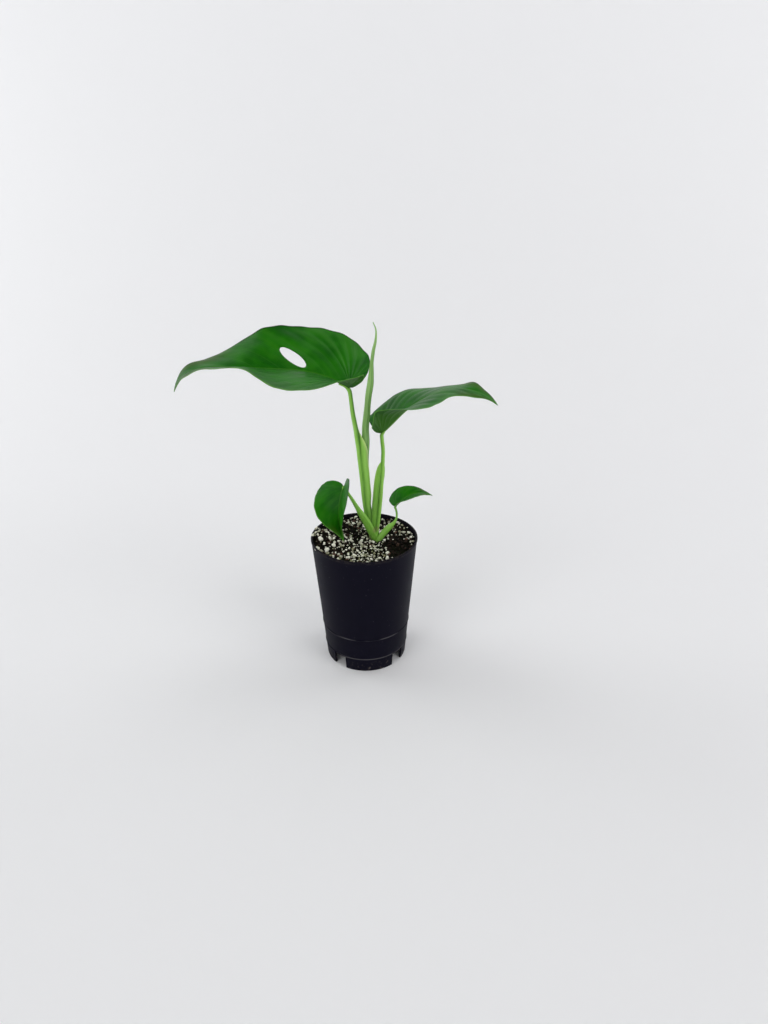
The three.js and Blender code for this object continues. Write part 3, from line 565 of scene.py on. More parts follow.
def through(at, values, x):
    """Smooth curve through stations: cubic pieces, each slope taken from the neighbouring ones."""
    at, values = np.asarray(at, float), np.asarray(values, float)
    x = np.clip(x, at[0], at[-1])
    low = np.r_[0, np.arange(len(at) - 1)]
    high = np.r_[np.arange(1, len(at)), len(at) - 1]
    slope = (values[high] - values[low]) / (at[high] - at[low])
    i = np.clip(np.searchsorted(at, x, side="left") - 1, 0, len(at) - 2)
    h = at[i + 1] - at[i]
    t = (x - at[i]) / h
    return ((2 * t ** 3 - 3 * t ** 2 + 1) * values[i] + (t ** 3 - 2 * t ** 2 + t) * h * slope[i]
            + (3 * t ** 2 - 2 * t ** 3) * values[i + 1] + (t ** 3 - t ** 2) * h * slope[i + 1])


def smooth_step(x, low, high):
    """0 below low, 1 above high, and an even S between them."""
    t = np.clip((x - low) / (high - low), 0, 1)
    return t * t * (3 - 2 * t)


def unit(vectors):
    """Vectors of length 1."""
    return vectors / np.maximum(np.linalg.norm(vectors, axis=-1, keepdims=True), 1e-12)


def midrib_of(leaf):
    """The midrib walked from the junction, each step along the pitch and heading at its station.
    Gives a function of the place x that finds the midrib's point, its left and its upward side."""
    x = np.linspace(-0.13, 1, 161)
    pitch = np.radians(through(PITCH_AT, leaf["pitch"], x))
    heading = np.radians(through(HEADING_AT, leaf["heading"], x))
    ahead = np.stack([np.cos(pitch) * np.cos(heading), np.cos(pitch) * np.sin(heading), np.sin(pitch)], 1)
    left = np.stack([-np.sin(heading), np.cos(heading), 0 * heading], 1)
    up = np.cross(ahead, left)
    steps = (ahead[1:] + ahead[:-1]) / 2 * np.diff(x)[:, None] * leaf["length"]
    line = np.vstack([np.zeros(3), np.cumsum(steps, 0)])
    line += np.array(leaf["junction"]) - [np.interp(0, x, line[:, k]) for k in range(3)]

    def at(where):
        return [np.stack([np.interp(where, x, rows[:, k]) for k in range(3)], -1) for rows in (line, left, up)]
    return at


def place_on(leaf, midrib, half, x, y):
    """A place on the flat blade, x along the midrib and y out from it in blade lengths, carried to
    the curved one: out from the midrib on an arc that starts at the fold and turns by the curl."""
    fold = np.radians(through(FOLD_AT, leaf["fold"][half], x))
    curl = leaf["curl"][half] or 1e-6
    out = leaf["length"] * (np.sin(fold + curl * y) - np.sin(fold)) / curl
    rise = leaf["length"] * (np.cos(fold) - np.cos(fold + curl * y)) / curl
    line, left, up = midrib(x)
    return line + (1 - 2 * half) * out[..., None] * left + rise[..., None] * up


def facing_on(leaf, midrib, half, x, y):
    """The direction that the blade's upper face looks in, from two short steps along it."""
    here = place_on(leaf, midrib, half, x, y)
    ahead = place_on(leaf, midrib, half, x + 1e-3, y) - here
    out = place_on(leaf, midrib, half, x, y + 1e-3) - here
    return unit(np.cross(ahead, out) * (1 - 2 * half))


def flat_half(leaf, half):
    """Grid of one flat half: u counts the veins from the sinus to the tip and t runs along each
    vein to the margin, which waves a little."""
    columns, rows = leaf["cells"]
    spread = np.linspace(0, 1, rows + 1)
    u, t = np.meshgrid(np.linspace(0, 1, columns + 1),
                       0.45 * spread + 0.275 * (1 - np.cos(np.pi * spread)), indexing="ij")
    lobes = np.where(np.array(EDGE_ALONG) < 0, np.array(EDGE_ALONG) * leaf["lobes"][half], EDGE_ALONG)
    edge = through(VEIN_INDEX, lobes, u)
    foot = np.maximum((u - FIRST_MIDRIB_VEIN) / (1 - FIRST_MIDRIB_VEIN), 0) ** VEIN_SPREAD
    scallop = 0.008 * np.sin(2 * np.pi * leaf["laterals"] * u + half) * smooth_step(u, 0.05, 0.3)
    y = through(VEIN_INDEX, EDGE_HALF, u) * leaf["width"] * t * (1 + scallop * t ** 3)
    return foot + (edge - foot) * t ** VEIN_ARCH, y, u, t


def blade_piece(name, leaf, material):
    """A blade as one closed sheet. Both halves share their points on the midrib. Between the side
    veins the sheet swells upwards, and the midrib is a furrow above and a rib below. The marks
    count the side veins, run across to the margin and along to the tip, give the millimetres out
    from the midrib, and tell the under face and the half with the pale edge from the others."""
    midrib = midrib_of(leaf)
    points, faces, marks = [], [], {"vein": [], "across": [], "along": [], "out": [], "under": [], "near": []}
    start = 0
    for half in (0, 1):
        x, y, u, t = flat_half(leaf, half)
        rows, columns = x.shape
        cells = grid_cells(rows, columns)
        flat = np.stack([x.ravel(), y.ravel()], 1)
        hole_edge = np.zeros((0, 2), int)
        if leaf.get("hole", {}).get("side") == half:
            hole = leaf["hole"]
            flat, cells, hole_edge = pierce(flat, cells, np.array(hole["centre"]) / leaf["length"],
                                            np.array(hole["half"]) / leaf["length"], hole["angle"])
        x, y, u, t = flat[:, 0], flat[:, 1], u.ravel(), t.ravel()
        out = y * leaf["length"]
        facing = facing_on(leaf, midrib, half, x, y)
        both = unit(facing_on(leaf, midrib, 0, x, 0 * y) + facing_on(leaf, midrib, 1, x, 0 * y))
        lift = unit(both + (facing - both) * smooth_step(out, 0, 1.6)[:, None])
        off_vein = np.abs(leaf["laterals"] * u - np.round(leaf["laterals"] * u))
        strength = smooth_step(t, 0.02, 0.35) * (1 - smooth_step(t, 0.82, 1.0)) * (1 - u ** 8)
        swell = leaf["quilt"] * strength * (np.sin(np.pi * off_vein) ** 1.4 - 0.4)
        furrow = 0.5 * leaf["rib"] * np.exp(-(out / (1.1 * leaf["rib"])) ** 2) * (1 - x)
        ridge = leaf["rib"] * (1 - 0.8 * x) * np.exp(-(out / (1.3 * leaf["rib"] * (1.1 - x))) ** 2)
        ridge += 0.5 * leaf["quilt"] * strength * np.exp(-(off_vein / 0.09) ** 2)
        thin = leaf["thickness"] / 2 * (1 - 0.45 * smooth_step(t, 0.85, 1.0))
        middle = place_on(leaf, midrib, half, x, y)
        wave = 0.0022 * leaf["length"] * waves(np.stack([x, y], 1), 0.13, 5 + half) * t ** 2 * (1 - u ** 6)
        for under, height in enumerate((thin + swell - furrow + wave, -thin + swell - ridge + wave)):
            points.append(middle + lift * height[:, None])
            for mark, values in zip(marks, (u * leaf["laterals"], t, x, out, np.full(len(u), under),
                                                np.full(len(u), half == leaf["pale_edge"]))):
                marks[mark].append(values)
        count = rows * columns
        lower = start + count
        around = np.arange(rows) * columns + columns - 1
        sinus = np.arange(columns)
        faces += [cells + start, cells[:, ::-1] + lower]
        faces.append(np.stack([around[:-1] + start, around[:-1] + lower, around[1:] + lower, around[1:] + start], 1))
        faces.append(np.stack([sinus[:-1] + start, sinus[:-1] + lower, sinus[1:] + lower, sinus[1:] + start], 1))
        if len(hole_edge):
            faces.append(np.concatenate([hole_edge + start, hole_edge[:, ::-1] + lower], 1))
        start += 2 * count
    marks = {mark: np.concatenate(values) for mark, values in marks.items()}
    piece_from(name + "_blade", np.concatenate(points), faces, material, [name], marks)


def plant_skin(name):
    """Shader group for living skin: soft blotches, fine cell grain and pale pin-point flecks."""
    group = bpy.data.node_groups.new(name, "ShaderNodeTree")
    group.interface.new_socket("Blotch Scale", in_out="INPUT", socket_type="NodeSocketFloat").default_value = 60.0
    for label in ("Blotch", "Grain", "Fleck"):
        group.interface.new_socket(label, in_out="OUTPUT", socket_type="NodeSocketFloat")
    given = group.nodes.new("NodeGroupInput").outputs
    result = group.nodes.new("NodeGroupOutput").inputs
    where = put(group, "TexCoord").outputs["Object"]
    group.links.new(fade(group, noise(group, where, given["Blotch Scale"], 3.0), 0.3, 0.7), result["Blotch"])
    grain = put(group, "TexVoronoi", {"Vector": where, "Scale": 2200.0}).outputs["Distance"]
    group.links.new(grain, result["Grain"])
    group.links.new(fade(group, noise(group, where, 900.0, 1.0), 0.7, 0.8), result["Fleck"])
    return group


PLANT_SKIN = plant_skin("plant_skin")


def skin_of(tree, blotch_scale):
    """The skin group placed in a material."""
    group = tree.nodes.new("ShaderNodeGroup")
    group.node_tree = PLANT_SKIN
    group.inputs["Blotch Scale"].default_value = blotch_scale
    return group.outputs


LEAF_DEEP, LEAF_FRESH, STREAK_PALE, STREAK_DARK = (
    (0.004, 0.105, 0.0006), (0.015, 0.18, 0.001), (0.035, 0.2, 0.008), (0.003, 0.07, 0.002))
VEIN_GREEN, MIDRIB_GREEN, FLECK_GREEN = (0.05, 0.22, 0.02), (0.1, 0.3, 0.04), (0.12, 0.3, 0.06)
# the under face's olive tint is its own colour, but it is darkened below the upper face's greens with painted shade
UNDER_DEEP_SHADED, UNDER_FRESH_SHADED, UNDER_VEIN, UNDER_MIDRIB = (
    (0.012, 0.095, 0.002), (0.03, 0.13, 0.004), (0.07, 0.2, 0.03), (0.16, 0.32, 0.07))
TIP_BROWN, MARGIN_DARK, MARGIN_PALE = (0.11, 0.09, 0.02), (0.01, 0.05, 0.008), (0.12, 0.36, 0.04)

leaf_green, tree, shader = new_material("leaf_green")
skin = skin_of(tree, 55.0)
vein, across, along, out, under, near = (mark_of(tree, name) for name in
                                         ("vein", "across", "along", "out", "under", "near"))
off_vein = math_of(tree, "PINGPONG", vein, 0.5)
side_vein = times(tree, fade(tree, off_vein, 0.085, 0.01), fade(tree, across, 1.0, 0.25))
lane = put(tree, "CombineXYZ", {0: times(tree, vein, 1.5), 1: times(tree, across, 1.6)}).outputs[0]
streak = noise(tree, lane, 1.0, 2.0)
fine_vein = fade(tree, math_of(tree, "PINGPONG", times(tree, vein, 7.0), 0.5), 0.25, 0.0)
midrib_line = fade(tree, out, 1.3, 0.35)
margin = fade(tree, across, 0.955, 0.998)
tip_dryness = times(tree, fade(tree, along, 0.62, 0.75), fade(tree, across, 0.5, 0.9))
upper = layered(tree, blend_colours(tree, skin["Blotch"], LEAF_DEEP, LEAF_FRESH),
                (fade(tree, streak, 0.42, 0.7), 0.4, STREAK_PALE), (fade(tree, streak, 0.5, 0.3), 0.3, STREAK_DARK),
                (side_vein, 0.18, VEIN_GREEN), (fine_vein, 0.12, STREAK_PALE), (midrib_line, 0.35, MIDRIB_GREEN))
# the under face: olive green darkened with painted shade, with paler veins and midrib
lower = layered(tree, blend_colours(tree, skin["Blotch"], UNDER_DEEP_SHADED, UNDER_FRESH_SHADED),
                (side_vein, 0.3, UNDER_VEIN), (midrib_line, 0.8, UNDER_MIDRIB))
green = layered(tree, blend_colours(tree, under, upper, lower),
                (skin["Fleck"], 0.12, FLECK_GREEN), (tip_dryness, 0.25, TIP_BROWN), (margin, 0.7, MARGIN_DARK),
                (times(tree, margin, near), 0.8, MARGIN_PALE))
waxy = math_of(tree, "ADD", 0.3, times(tree, skin["Blotch"], 0.08))
finish(tree, shader, green, roughness=math_of(tree, "ADD", waxy, times(tree, under, 0.2)), specular=0.1,
       relief=math_of(tree, "ADD", times(tree, skin["Grain"], 0.35), times(tree, fine_vein, -0.8)),
       strength=0.35, depth=0.00012)

for name, leaf in LEAVES.items():
    blade_piece(name, leaf, leaf_green)

# Leaf stalks: firm round rods, each with a sheath at its foot, a soft wall that grows out of the
# rod on both sides and wraps whatever rises inside it. Stations run from the foot up: x, y, z,
# half width, half depth.
STALKS = {
    "leaf_1": [[4.8, 3.3, 108.5, 1.4, 1.4], [3.1, 3.2, 118, 1.5, 1.5], [1.4, 2.9, 128, 1.6, 1.6],
               [0.2, 2.5, 137, 1.65, 1.65], [-0.6, 1.9, 145, 1.7, 1.7], [-1.3, 1.0, 155.5, 1.75, 1.75],
               [-2.1, 0.2, 166, 1.8, 1.8], [-3.1, -0.5, 177, 1.8, 1.8], [-3.8, -1.5, 186, 1.8, 1.8],
               [-4.8, -2.7, 195, 1.8, 1.8], [-5.6, -3.7, 203, 1.8, 1.8], [-7.4, -5.2, 215, 1.65, 1.65],
               [-8.5, -7, 227, 1.5, 1.5], [-9.1, -7.5, 232.2, 1.5, 1.5], [-10.4, -7.8, 235.2, 1.5, 1.3],
               [-12.8, -7.6, 237, 1.1, 0.8], [-16.5, -7.4, 238.3, 0.8, 0.5]],
    "leaf_2": [[8.6, 0.6, 106, 1.3, 1.3], [10, 0.3, 118, 1.5, 1.5], [11.5, 0.2, 131.9, 1.55, 1.55],
               [12.6, 0.6, 144.6, 1.55, 1.5], [13.4, 1.4, 157, 1.5, 1.5], [14, 2.6, 167, 1.5, 1.5],
               [14.3, 3.4, 174.5, 1.5, 1.5], [14.5, 4, 182, 1.45, 1.45], [13.7, 4.6, 191, 1.45, 1.45],
               [13.6, 5, 194.6, 1.4, 1.3], [15.2, 5.4, 197, 1.0, 0.8]],
    "leaf_3": [[8.4, 1.2, 105.4, 2.4, 2.4], [7, 0, 110, 2.9, 2.7], [4.9, -1.5, 115.7, 3.1, 2.7],
               [1.5, -4, 124.8, 3.1, 2.4], [-2.2, -7, 133.1, 2.5, 2], [-5.5, -9, 140.3, 1.7, 1.6],
               [-8.4, -10.8, 147, 1.35, 1.35], [-11.5, -12.2, 153.4, 1.1, 1.1], [-13.9, -13.1, 158.6, 1, 1],
               [-15, -14.4, 160.4, 1, 0.9], [-15.4, -15.8, 159.4, 0.7, 0.6]],
    "leaf_4": [[10.2, -1, 105.4, 2, 2], [12.6, -1, 109.6, 2.4, 2.2], [16.4, -0.6, 114.8, 2.6, 2],
               [19.6, -0.2, 118.4, 2.4, 1.7], [22.6, 0.3, 121.2, 1.5, 1.2], [24.8, 0.9, 124.6, 0.9, 0.9],
               [25.3, 1.4, 128.3, 0.8, 0.8], [24.8, 2, 132, 0.8, 0.8], [23.9, 2.3, 134.6, 0.9, 0.8],
               [25, 2.8, 135.9, 0.6, 0.5]],
}
# the sheaths of the two tall stalks: z, the middle's x and y, the oval's half width and depth, and
# the azimuths of the two free edges
SHEATH_1 = [[108.5, 6.2, 4.4, 3.1, 3.0, 20, 385], [118, 4.6, 4.4, 3.3, 3.1, 18, 382],
            [128, 3.0, 4.2, 3.4, 3.3, 15, 378], [137, 1.9, 3.8, 3.5, 3.4, 13, 374],
            [145, 1.7, 3.3, 4.0, 3.6, 12, 371], [155.5, 1.0, 2.5, 4.0, 3.7, 12, 368],
            [166, 0.3, 1.9, 4.1, 3.9, 18, 364], [172, -0.2, 1.6, 4.1, 3.9, 30, 360],
            [178, -0.6, 1.2, 4.1, 3.8, 45, 356], [184.5, -0.9, 0.9, 4.2, 3.7, 75, 345],
            [190, -1.3, 0.5, 4.1, 3.6, 105, 318], [195, -1.7, 0.1, 3.9, 3.4, 135, 290],
            [200.5, -2.3, -0.5, 3.7, 3.2, 165, 255], [206, -3.0, -1.2, 3.4, 3.0, 200, 226]]
SHEATH_2 = [[106, 8.2, 1.9, 2.8, 2.5, -200, 140], [118, 8.1, 2.1, 3.3, 2.7, -196, 130],
            [131.9, 9.1, 2.4, 3.9, 2.8, -192, 120], [144.6, 10.1, 2.6, 3.9, 2.6, -188, 104],
            [157, 11.2, 2.9, 3.9, 2.4, -186, 85], [162, 11.9, 3.1, 3.8, 2.1, -184, 60],
            [166.5, 12.5, 3.3, 3.4, 1.9, -182, 35], [169.5, 13.0, 3.5, 2.8, 1.7, -178, 5],
            [171.5, 13.4, 3.7, 2.1, 1.5, -168, -40], [173.2, 13.8, 3.8, 1.4, 1.3, -150, -85]]


def bands(azimuth, stops):
    """Soft bands round a stalk, each a bell with its own azimuth, half width and strength."""
    total = 0.0 * azimuth
    for centre, half, strength in stops:
        off = (azimuth - centre + 180) % 360 - 180
        total = total + strength * np.exp(-(off / half) ** 2)
    return total


def rod(stations, painted_light_bands, around=40, per_station=8, section=None):
    """A rod along a smooth line through its stations: an oval at every place, its outline moved in
    and out by the section's factor, closed at both ends by a dome. Gives points, cells, marks."""
    stations = np.array(stations, float)
    knots = np.arange(len(stations))
    s = np.linspace(0, len(stations) - 1, (len(stations) - 1) * per_station + 1)
    line = np.stack([through(knots, stations[:, k], s) for k in range(5)], 1)
    ends = np.radians([90, 72, 54, 36, 18])
    shrink = np.concatenate([np.cos(ends), np.ones(len(s)), np.cos(ends)[::-1]])
    push = np.concatenate([-np.sin(ends), np.zeros(len(s)), np.sin(ends)[::-1]])
    pick = np.concatenate([np.zeros(5, int), np.arange(len(s)), np.full(5, len(s) - 1)])
    ahead = unit(np.gradient(line[:, :3], axis=0))
    wide = unit(np.cross([0, 1, 0], ahead))
    deep = np.cross(ahead, wide)
    angle = np.linspace(0, 360, around, endpoint=False)
    share = (s[pick] / s[-1])[:, None] + 0 * angle
    factor = (section(share, angle[None]) if section else 1.0) * shrink[:, None]
    a, b = line[pick, 3:4] * factor, line[pick, 4:5] * factor
    middle = line[pick, :3] + ahead[pick] * (push * line[pick, 4] * 0.8)[:, None]
    points = (middle[:, None] + wide[pick][:, None] * (a * np.cos(np.radians(angle)))[..., None]
              + deep[pick][:, None] * (b * np.sin(np.radians(angle)))[..., None])
    # the tone mark is painted light and shade: lit and shaded bands round the rod
    marks = {"tone": (bands(angle, painted_light_bands) + 0 * share).ravel(), "edge": np.zeros(share.size)}
    return points.reshape(-1, 3), grid_cells(len(pick), around, ring=True), marks


def sheath(stations, rib, wall, painted_light_bands, folds, columns=120, rows=140):
    """A wall that wraps from one free edge round the rib to the other, in level sections. Folds are
    bands that stand out or in, in millimetres. Where the wall closes, the first edge tucks in
    under the second. Closed, with thin round edges."""
    stations = np.array(stations, float)
    z = np.linspace(stations[0, 0], stations[-1, 0], rows)
    x, y, a, b, first, second = (through(stations[:, 0], stations[:, k], z)[:, None] for k in range(1, 7))
    azimuth = first + (second - first) * np.linspace(0, 1, columns)[None]
    tuck = 1 - 0.13 * (1 - smooth_step(azimuth - first, 0, 70)) * smooth_step(second - first, 300, 360)
    to_edge = np.where(azimuth < rib, (rib - azimuth) / np.maximum(rib - first, 1),
                       (azimuth - rib) / np.maximum(second - rib, 1))
    thin = wall * (1 - 0.75 * smooth_step(to_edge, 0.5, 1.0)) / 2
    relief = bands(azimuth, folds)
    turn = np.radians(azimuth)
    layers = []
    for side in (1, -1):
        out = side * thin - wall / 2 + relief
        layers.append(np.stack([x + (a * tuck + out) * np.cos(turn), y + (b * tuck + out) * np.sin(turn),
                                np.repeat(z[:, None], columns, 1)], 2).reshape(-1, 3))
    cells = grid_cells(rows, columns)
    count = rows * columns
    border = np.concatenate([np.arange(columns), np.arange(1, rows) * columns + columns - 1,
                             (rows - 1) * columns + np.arange(columns - 2, -1, -1),
                             np.arange(rows - 2, -1, -1) * columns])
    strip = np.stack([border[:-1], border[1:], border[1:] + count, border[:-1] + count], 1)
    # the tone mark is painted light and shade: lit and shaded bands round the wall
    marks = {"tone": np.tile(bands(azimuth, painted_light_bands).ravel(), 2), "edge": np.tile(to_edge.ravel(), 2)}
    return np.concatenate(layers), np.concatenate([cells, cells[:, ::-1] + count, strip]), marks


def joined(*parts):
    """Several bodies as one set of points, cells and marks."""
    offsets = np.cumsum([0] + [len(p[0]) for p in parts[:-1]])
    return (np.concatenate([p[0] for p in parts]), [p[1] + o for p, o in zip(parts, offsets)],
            {mark: np.concatenate([p[2][mark] for p in parts]) for mark in parts[0][2]})


def channelled(share, angle):
    """Outline of a low stalk: a shallow channel along the side that faces up and inwards."""
    return 1 + bands(angle, [(90, 34, -0.2)]) * (1 - smooth_step(share, 0.45, 0.7))


def stalk_skin(name, deep, middle, bright, rim):
    """Green skin of a stalk or rolled leaf: the tone mark paints light and shade on it, from the deep
    green of painted shade to the bright green of painted light, with fine streaks along the grain,
    and free edges are the rim colour."""
    material, tree, shader = new_material(name)
    skin = skin_of(tree, 90.0)
    place = put(tree, "TexCoord").outputs["Object"]
    tone, edge = mark_of(tree, "tone"), mark_of(tree, "edge")
    long_way = put(tree, "Mapping", {"Vector": place, "Scale": (1500.0, 1500.0, 45.0)}).outputs[0]
    streak = fade(tree, noise(tree, long_way, 1.0, 3.0), 0.3, 0.7)
    # painted shade where the tone mark is below 0, painted light where it is above
    green = blend_colours(tree, times(tree, tone, -1.0, clamp=True), middle, deep)
    green = blend_colours(tree, times(tree, tone, 1.0, clamp=True), green, bright)
    green = layered(tree, green, (skin["Blotch"], 0.2, middle), (streak, 0.22, bright),
                    (fade(tree, edge, 0.6, 1.0), 0.8, rim), (skin["Fleck"], 0.25, rim))
    finish(tree, shader, green, roughness=0.38, specular=0.25,
           relief=math_of(tree, "ADD", times(tree, skin["Grain"], 0.3), streak), strength=0.3, depth=0.0001)
    return material, tree, shader, green


NODE_MIDDLE, NODE_BROWN, STALK_PAINTED_SHADE = np.array([0.0092, -0.003, 0.117]), (0.3, 0.2, 0.13), (0.045, 0.16, 0.03)
stalk_green, tree, shader, green = stalk_skin("stalk_green", deep=(0.035, 0.13, 0.015), middle=(0.17, 0.43, 0.045),
                                              bright=(0.38, 0.72, 0.14), rim=(0.6, 0.78, 0.27))
where = put(tree, "TexCoord").outputs["Object"]
place = put(tree, "SeparateXYZ", {0: where}).outputs
# painted shade: the stalks grow darker low down and towards the back, where they crowd together
painted_low_shade = times(tree, fade(tree, place["Z"], POT_AXIS[2] + 0.158, POT_AXIS[2] + 0.122),
                 fade(tree, place["Y"], POT_AXIS[1] - 0.0005, POT_AXIS[1] + 0.0015))
from_node = put(tree, "VectorMath", {0: where, 1: POT_AXIS + NODE_MIDDLE}, operation="DISTANCE").outputs["Value"]
shaded = layered(tree, green, (painted_low_shade, 0.4, STALK_PAINTED_SHADE), (fade(tree, from_node, 0.0042, 0.001), 0.6, NODE_BROWN))
tree.links.new(shaded, shader.inputs["Base Color"])

# the bands of painted light and shade on each rod, then each sheath's rib, wall, bands of painted light and shade,
# and folds
TALL_STALKS = {
    "leaf_1": ([(225, 45, 0.85), (325, 30, -1.0)],
               (SHEATH_1, 217, 1.0, [(292, 26, 0.55), (250, 12, -0.4), (347, 18, -0.9)], [(250, 9, -0.3)])),
    "leaf_2": ([(320, 40, 0.7), (205, 40, -0.7)],
               (SHEATH_2, -25, 0.8, [(225, 30, 0.35), (290, 18, -0.5)], [(296, 9, -0.25)])),
}
# the bands of painted light and shade on each low stalk
LOW_STALKS = {"leaf_3": [(345, 40, 0.6), (300, 10, -0.4), (200, 30, -0.5)],
              "leaf_4": [(190, 70, 1.0), (330, 30, -0.3)]}
for name, (painted_light_bands, wall_and_folds) in TALL_STALKS.items():
    points, faces, marks = joined(rod(STALKS[name], painted_light_bands), sheath(*wall_and_folds))
    piece_from(name + "_stalk", points, faces, stalk_green, [name], marks)
for name, painted_light_bands in LOW_STALKS.items():
    points, cells, marks = rod(STALKS[name], painted_light_bands, section=channelled)
    piece_from(name + "_stalk", points, [cells], stalk_green, [name], marks)

# New leaf: a blade still rolled up tight along its length into one slender spear, which pushes up
# out of the first leaf's sheath. The outer edge of the roll runs up it as a fine step.
SPEAR = [[2.6, 4.4, 132, 0.9, 0.9], [2, 3.8, 143.6, 2.2, 2], [1.3, 3, 158, 2.6, 2.3], [0.9, 2.4, 172, 2.7, 2.4],
         [1, 2.3, 180, 2.8, 2.4], [1.4, 2.3, 190, 3.0, 2.5], [1.4, 2.5, 202, 2.65, 2.4],
         [2.4, 2.8, 211, 2.65, 2.3], [3.0, 2.9, 218, 2.4, 2.2], [3.9, 3, 226.5, 2.45, 2.2],
         [5.2, 3.1, 234.5, 2.5, 2.1], [6, 3.1, 243, 1.9, 1.7], [6.5, 3.1, 251, 1.35, 1.3],
         [7.7, 3, 259.5, 1.25, 1.1], [9.3, 3, 266.9, 0.9, 0.8], [9.5, 3, 274, 0.55, 0.5],
         [7.6, 3, 279.2, 0.3, 0.3]]
SPEAR_AROUND = 72


def lap_of(share, angle):
    """How far round from the roll's outer edge a place lies, from 0 to 1; the edge stands at the
    right of the front and winds a little as it rises."""
    return (angle / 360 - 0.86 + 0.1 * share) % 1.0


def rolled(share, angle):
    """Outline of the roll: the radius shrinks slowly once round and steps back out at the edge."""
    lap = lap_of(share, angle)
    return 1.03 - 0.13 * lap + 0.1 * smooth_step(lap, 0.95, 1.0)


# the spear's bands are painted light at its front left and painted shade at its right edge
points, cells, marks = rod(SPEAR, [(215, 55, 0.35), (345, 26, -0.9)], SPEAR_AROUND, per_station=10, section=rolled)
rise = np.linspace(0, 1, len(points) // SPEAR_AROUND)
lap = lap_of(rise[:, None], np.linspace(0, 360, SPEAR_AROUND, endpoint=False)).ravel()
# painted shade: a dark line up beside the roll's outer edge, along its step; the tone also rises towards the top, so
# the tip is lighter
marks["tone"] -= 0.9 * (1 - smooth_step(np.minimum(lap, 1 - lap), 0, 0.035))
marks["tone"] += 0.5 * smooth_step(points[:, 2], 250, 270)
spear_green, *_ = stalk_skin("spear_green", deep=(0.05, 0.15, 0.035), middle=(0.24, 0.48, 0.12),
                             bright=(0.44, 0.68, 0.27), rim=(0.5, 0.58, 0.3))
piece_from("new_leaf_spear", points, [cells], spear_green, ["new_leaf"], marks)

# Stem: a short ringed stump from which every stalk rises, and thick pale roots that spread from
# its foot down into the mix, all grown in one.
STEM = [[7.5, 4, 66, 1.2, 1.2], [7.5, 4, 76, 3.4, 3.4], [7.5, 4, 90, 4.6, 4.4], [7.6, 3.8, 103, 4.8, 4.6],
        [7.2, 4, 110, 4.0, 3.8], [6.4, 4.4, 116, 2.4, 2.2], [6, 4.6, 120, 0.8, 0.8]]
SCARS, SCAR_RISE = 11, 0.03
ROOT_COUNT, ROOT_TOP, ROOT_STAGGER, ROOT_REACH, ROOT_DROP, ROOT_RADIUS = 5, 86, 5, 21.08, 26, 1.5
CORK_BROWN, CORK_GREEN, CORK_FLECK = (0.12, 0.11, 0.05), (0.22, 0.27, 0.1), (0.3, 0.26, 0.16)


def ringed(share, angle):
    """Outline of the stump: a fine ring at each old leaf scar."""
    return 1 + SCAR_RISE * np.sin(2 * np.pi * SCARS * share) ** 5 + 0 * angle


root_parts = [rod(STEM, [], around=48, per_station=14, section=ringed)]
along_root = np.array([0, 0.35, 0.7, 1])
for k in range(ROOT_COUNT):
    azimuth = 2 * math.pi * (k + 0.3) / ROOT_COUNT
    reach = 1 + ROOT_REACH * along_root
    level = ROOT_TOP - (k % 2) * ROOT_STAGGER - ROOT_DROP * along_root ** 2
    radius = ROOT_RADIUS * (1 - 0.7 * along_root)
    course = [STEM[0][0] + reach * math.cos(azimuth), STEM[0][1] + reach * math.sin(azimuth), level, radius, radius]
    root_parts.append(rod(np.stack(course, 1), [], around=16))
points, faces, marks = joined(*root_parts)
stem_skin, tree, shader = new_material("stem_skin")
skin = skin_of(tree, 160.0)
corky = blend_colours(tree, skin["Blotch"], CORK_BROWN, CORK_GREEN)
corky = blend_colours(tree, skin["Fleck"], corky, CORK_FLECK)
finish(tree, shader, corky, roughness=0.6, relief=skin["Grain"], strength=0.5, depth=0.0002)
piece_from("stem_and_roots", points, faces, stem_skin, ["stem"], marks)

# Studio: a pale floor that rises behind the plant in one sweep, four soft lamps, two in front and
# two behind at the sides, and a pale room that grows darker overhead. Its sizes are in metres.
FLOOR_FRONT, BEND_START, BEND_RADIUS, SWEEP_TOP, SWEEP_HALF = -3, 0.35, 0.6, 2.6, 4
FLOOR_ROWS, SWEEP_COLUMNS = 12, 9
PAPER_WHITE, ROOM_WHITE = (0.93, 0.93, 0.94, 1), (0.97, 0.98, 1.0, 1)
bend = np.radians(np.linspace(5, 90, 18))
sweep_y = np.concatenate([np.linspace(FLOOR_FRONT, BEND_START, FLOOR_ROWS), BEND_START + BEND_RADIUS * np.sin(bend),
                          [BEND_START + BEND_RADIUS]])
sweep_z = np.concatenate([np.zeros(FLOOR_ROWS), BEND_RADIUS * (1 - np.cos(bend)), [SWEEP_TOP]])
sweep_x = np.linspace(-SWEEP_HALF, SWEEP_HALF, SWEEP_COLUMNS)
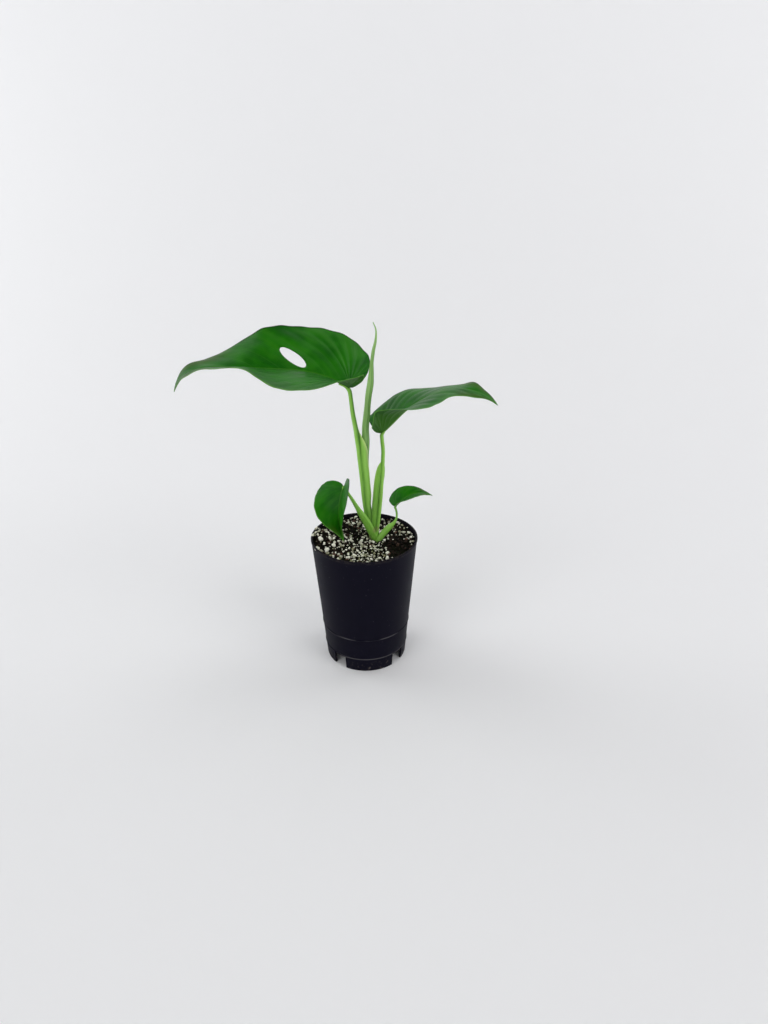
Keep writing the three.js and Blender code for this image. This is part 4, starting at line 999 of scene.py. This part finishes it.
sweep = np.stack([np.repeat(sweep_x[None], len(sweep_y), 0), np.repeat(sweep_y[:, None], SWEEP_COLUMNS, 1),
                  np.repeat(sweep_z[:, None], SWEEP_COLUMNS, 1) + POT_AXIS[2]], 2).reshape(-1, 3)
backdrop_mesh = bpy.data.meshes.new("backdrop")
backdrop_mesh.from_pydata(sweep.tolist(), [], grid_cells(len(sweep_y), SWEEP_COLUMNS).tolist())
backdrop_mesh.shade_smooth()
paper, tree, shader = new_material("backdrop_paper")
feed(tree, shader, {"Base Color": PAPER_WHITE, "Roughness": 0.9})
backdrop_mesh.materials.append(paper)
backdrop = bpy.data.objects.new("backdrop", backdrop_mesh)
bpy.context.scene.collection.objects.link(backdrop)

# each lamp's name, place from the pot's foot, size, strength in watts and colour
LIGHTS = [("left_window", (-1.3, 0.7, 1.0), (1.2, 1.0), 9.0, (0.99, 1.0, 1.0)),
          ("front_left", (-1.0, -1.2, 1.4), (1.0, 1.0), 7.0, (1.0, 1.0, 0.99)),
          ("front_right", (1.2, -0.9, 1.3), (1.0, 1.0), 7.0, (1.0, 0.99, 0.98)),
          ("back_right", (1.3, 0.6, 1.2), (0.8, 0.8), 4.0, (1.0, 1.0, 1.0))]
for name, spot, size, power, tone in LIGHTS:
    lamp = bpy.data.lights.new(name, "AREA")
    lamp.shape, lamp.size, lamp.size_y = "RECTANGLE", *size
    lamp.energy, lamp.color = power, tone
    holder = bpy.data.objects.new(name, lamp)
    holder.location = POT_AXIS + np.array(spot)
    towards = np.array([0, 0, 0.15]) - np.array(spot)
    pitch = math.atan2(math.hypot(towards[0], towards[1]), -towards[2])
    holder.rotation_euler = (pitch, 0, math.atan2(-towards[0], towards[1]))
    bpy.context.scene.collection.objects.link(holder)

world = bpy.data.worlds.new("room")
bpy.context.scene.world = world
world.use_nodes = True
sky = world.node_tree
upward = put(sky, "SeparateXYZ", {0: put(sky, "TexCoord").outputs["Generated"]}).outputs["Z"]
ceiling = put(sky, "MapRange", {"Value": upward, "From Min": 0.1, "From Max": 0.9,
                                "To Min": 0.8, "To Max": 0.16})
feed(sky, sky.nodes["Background"], {"Color": ROOM_WHITE, "Strength": ceiling.outputs["Result"]})
bpy.context.scene.view_settings.view_transform = "Standard"
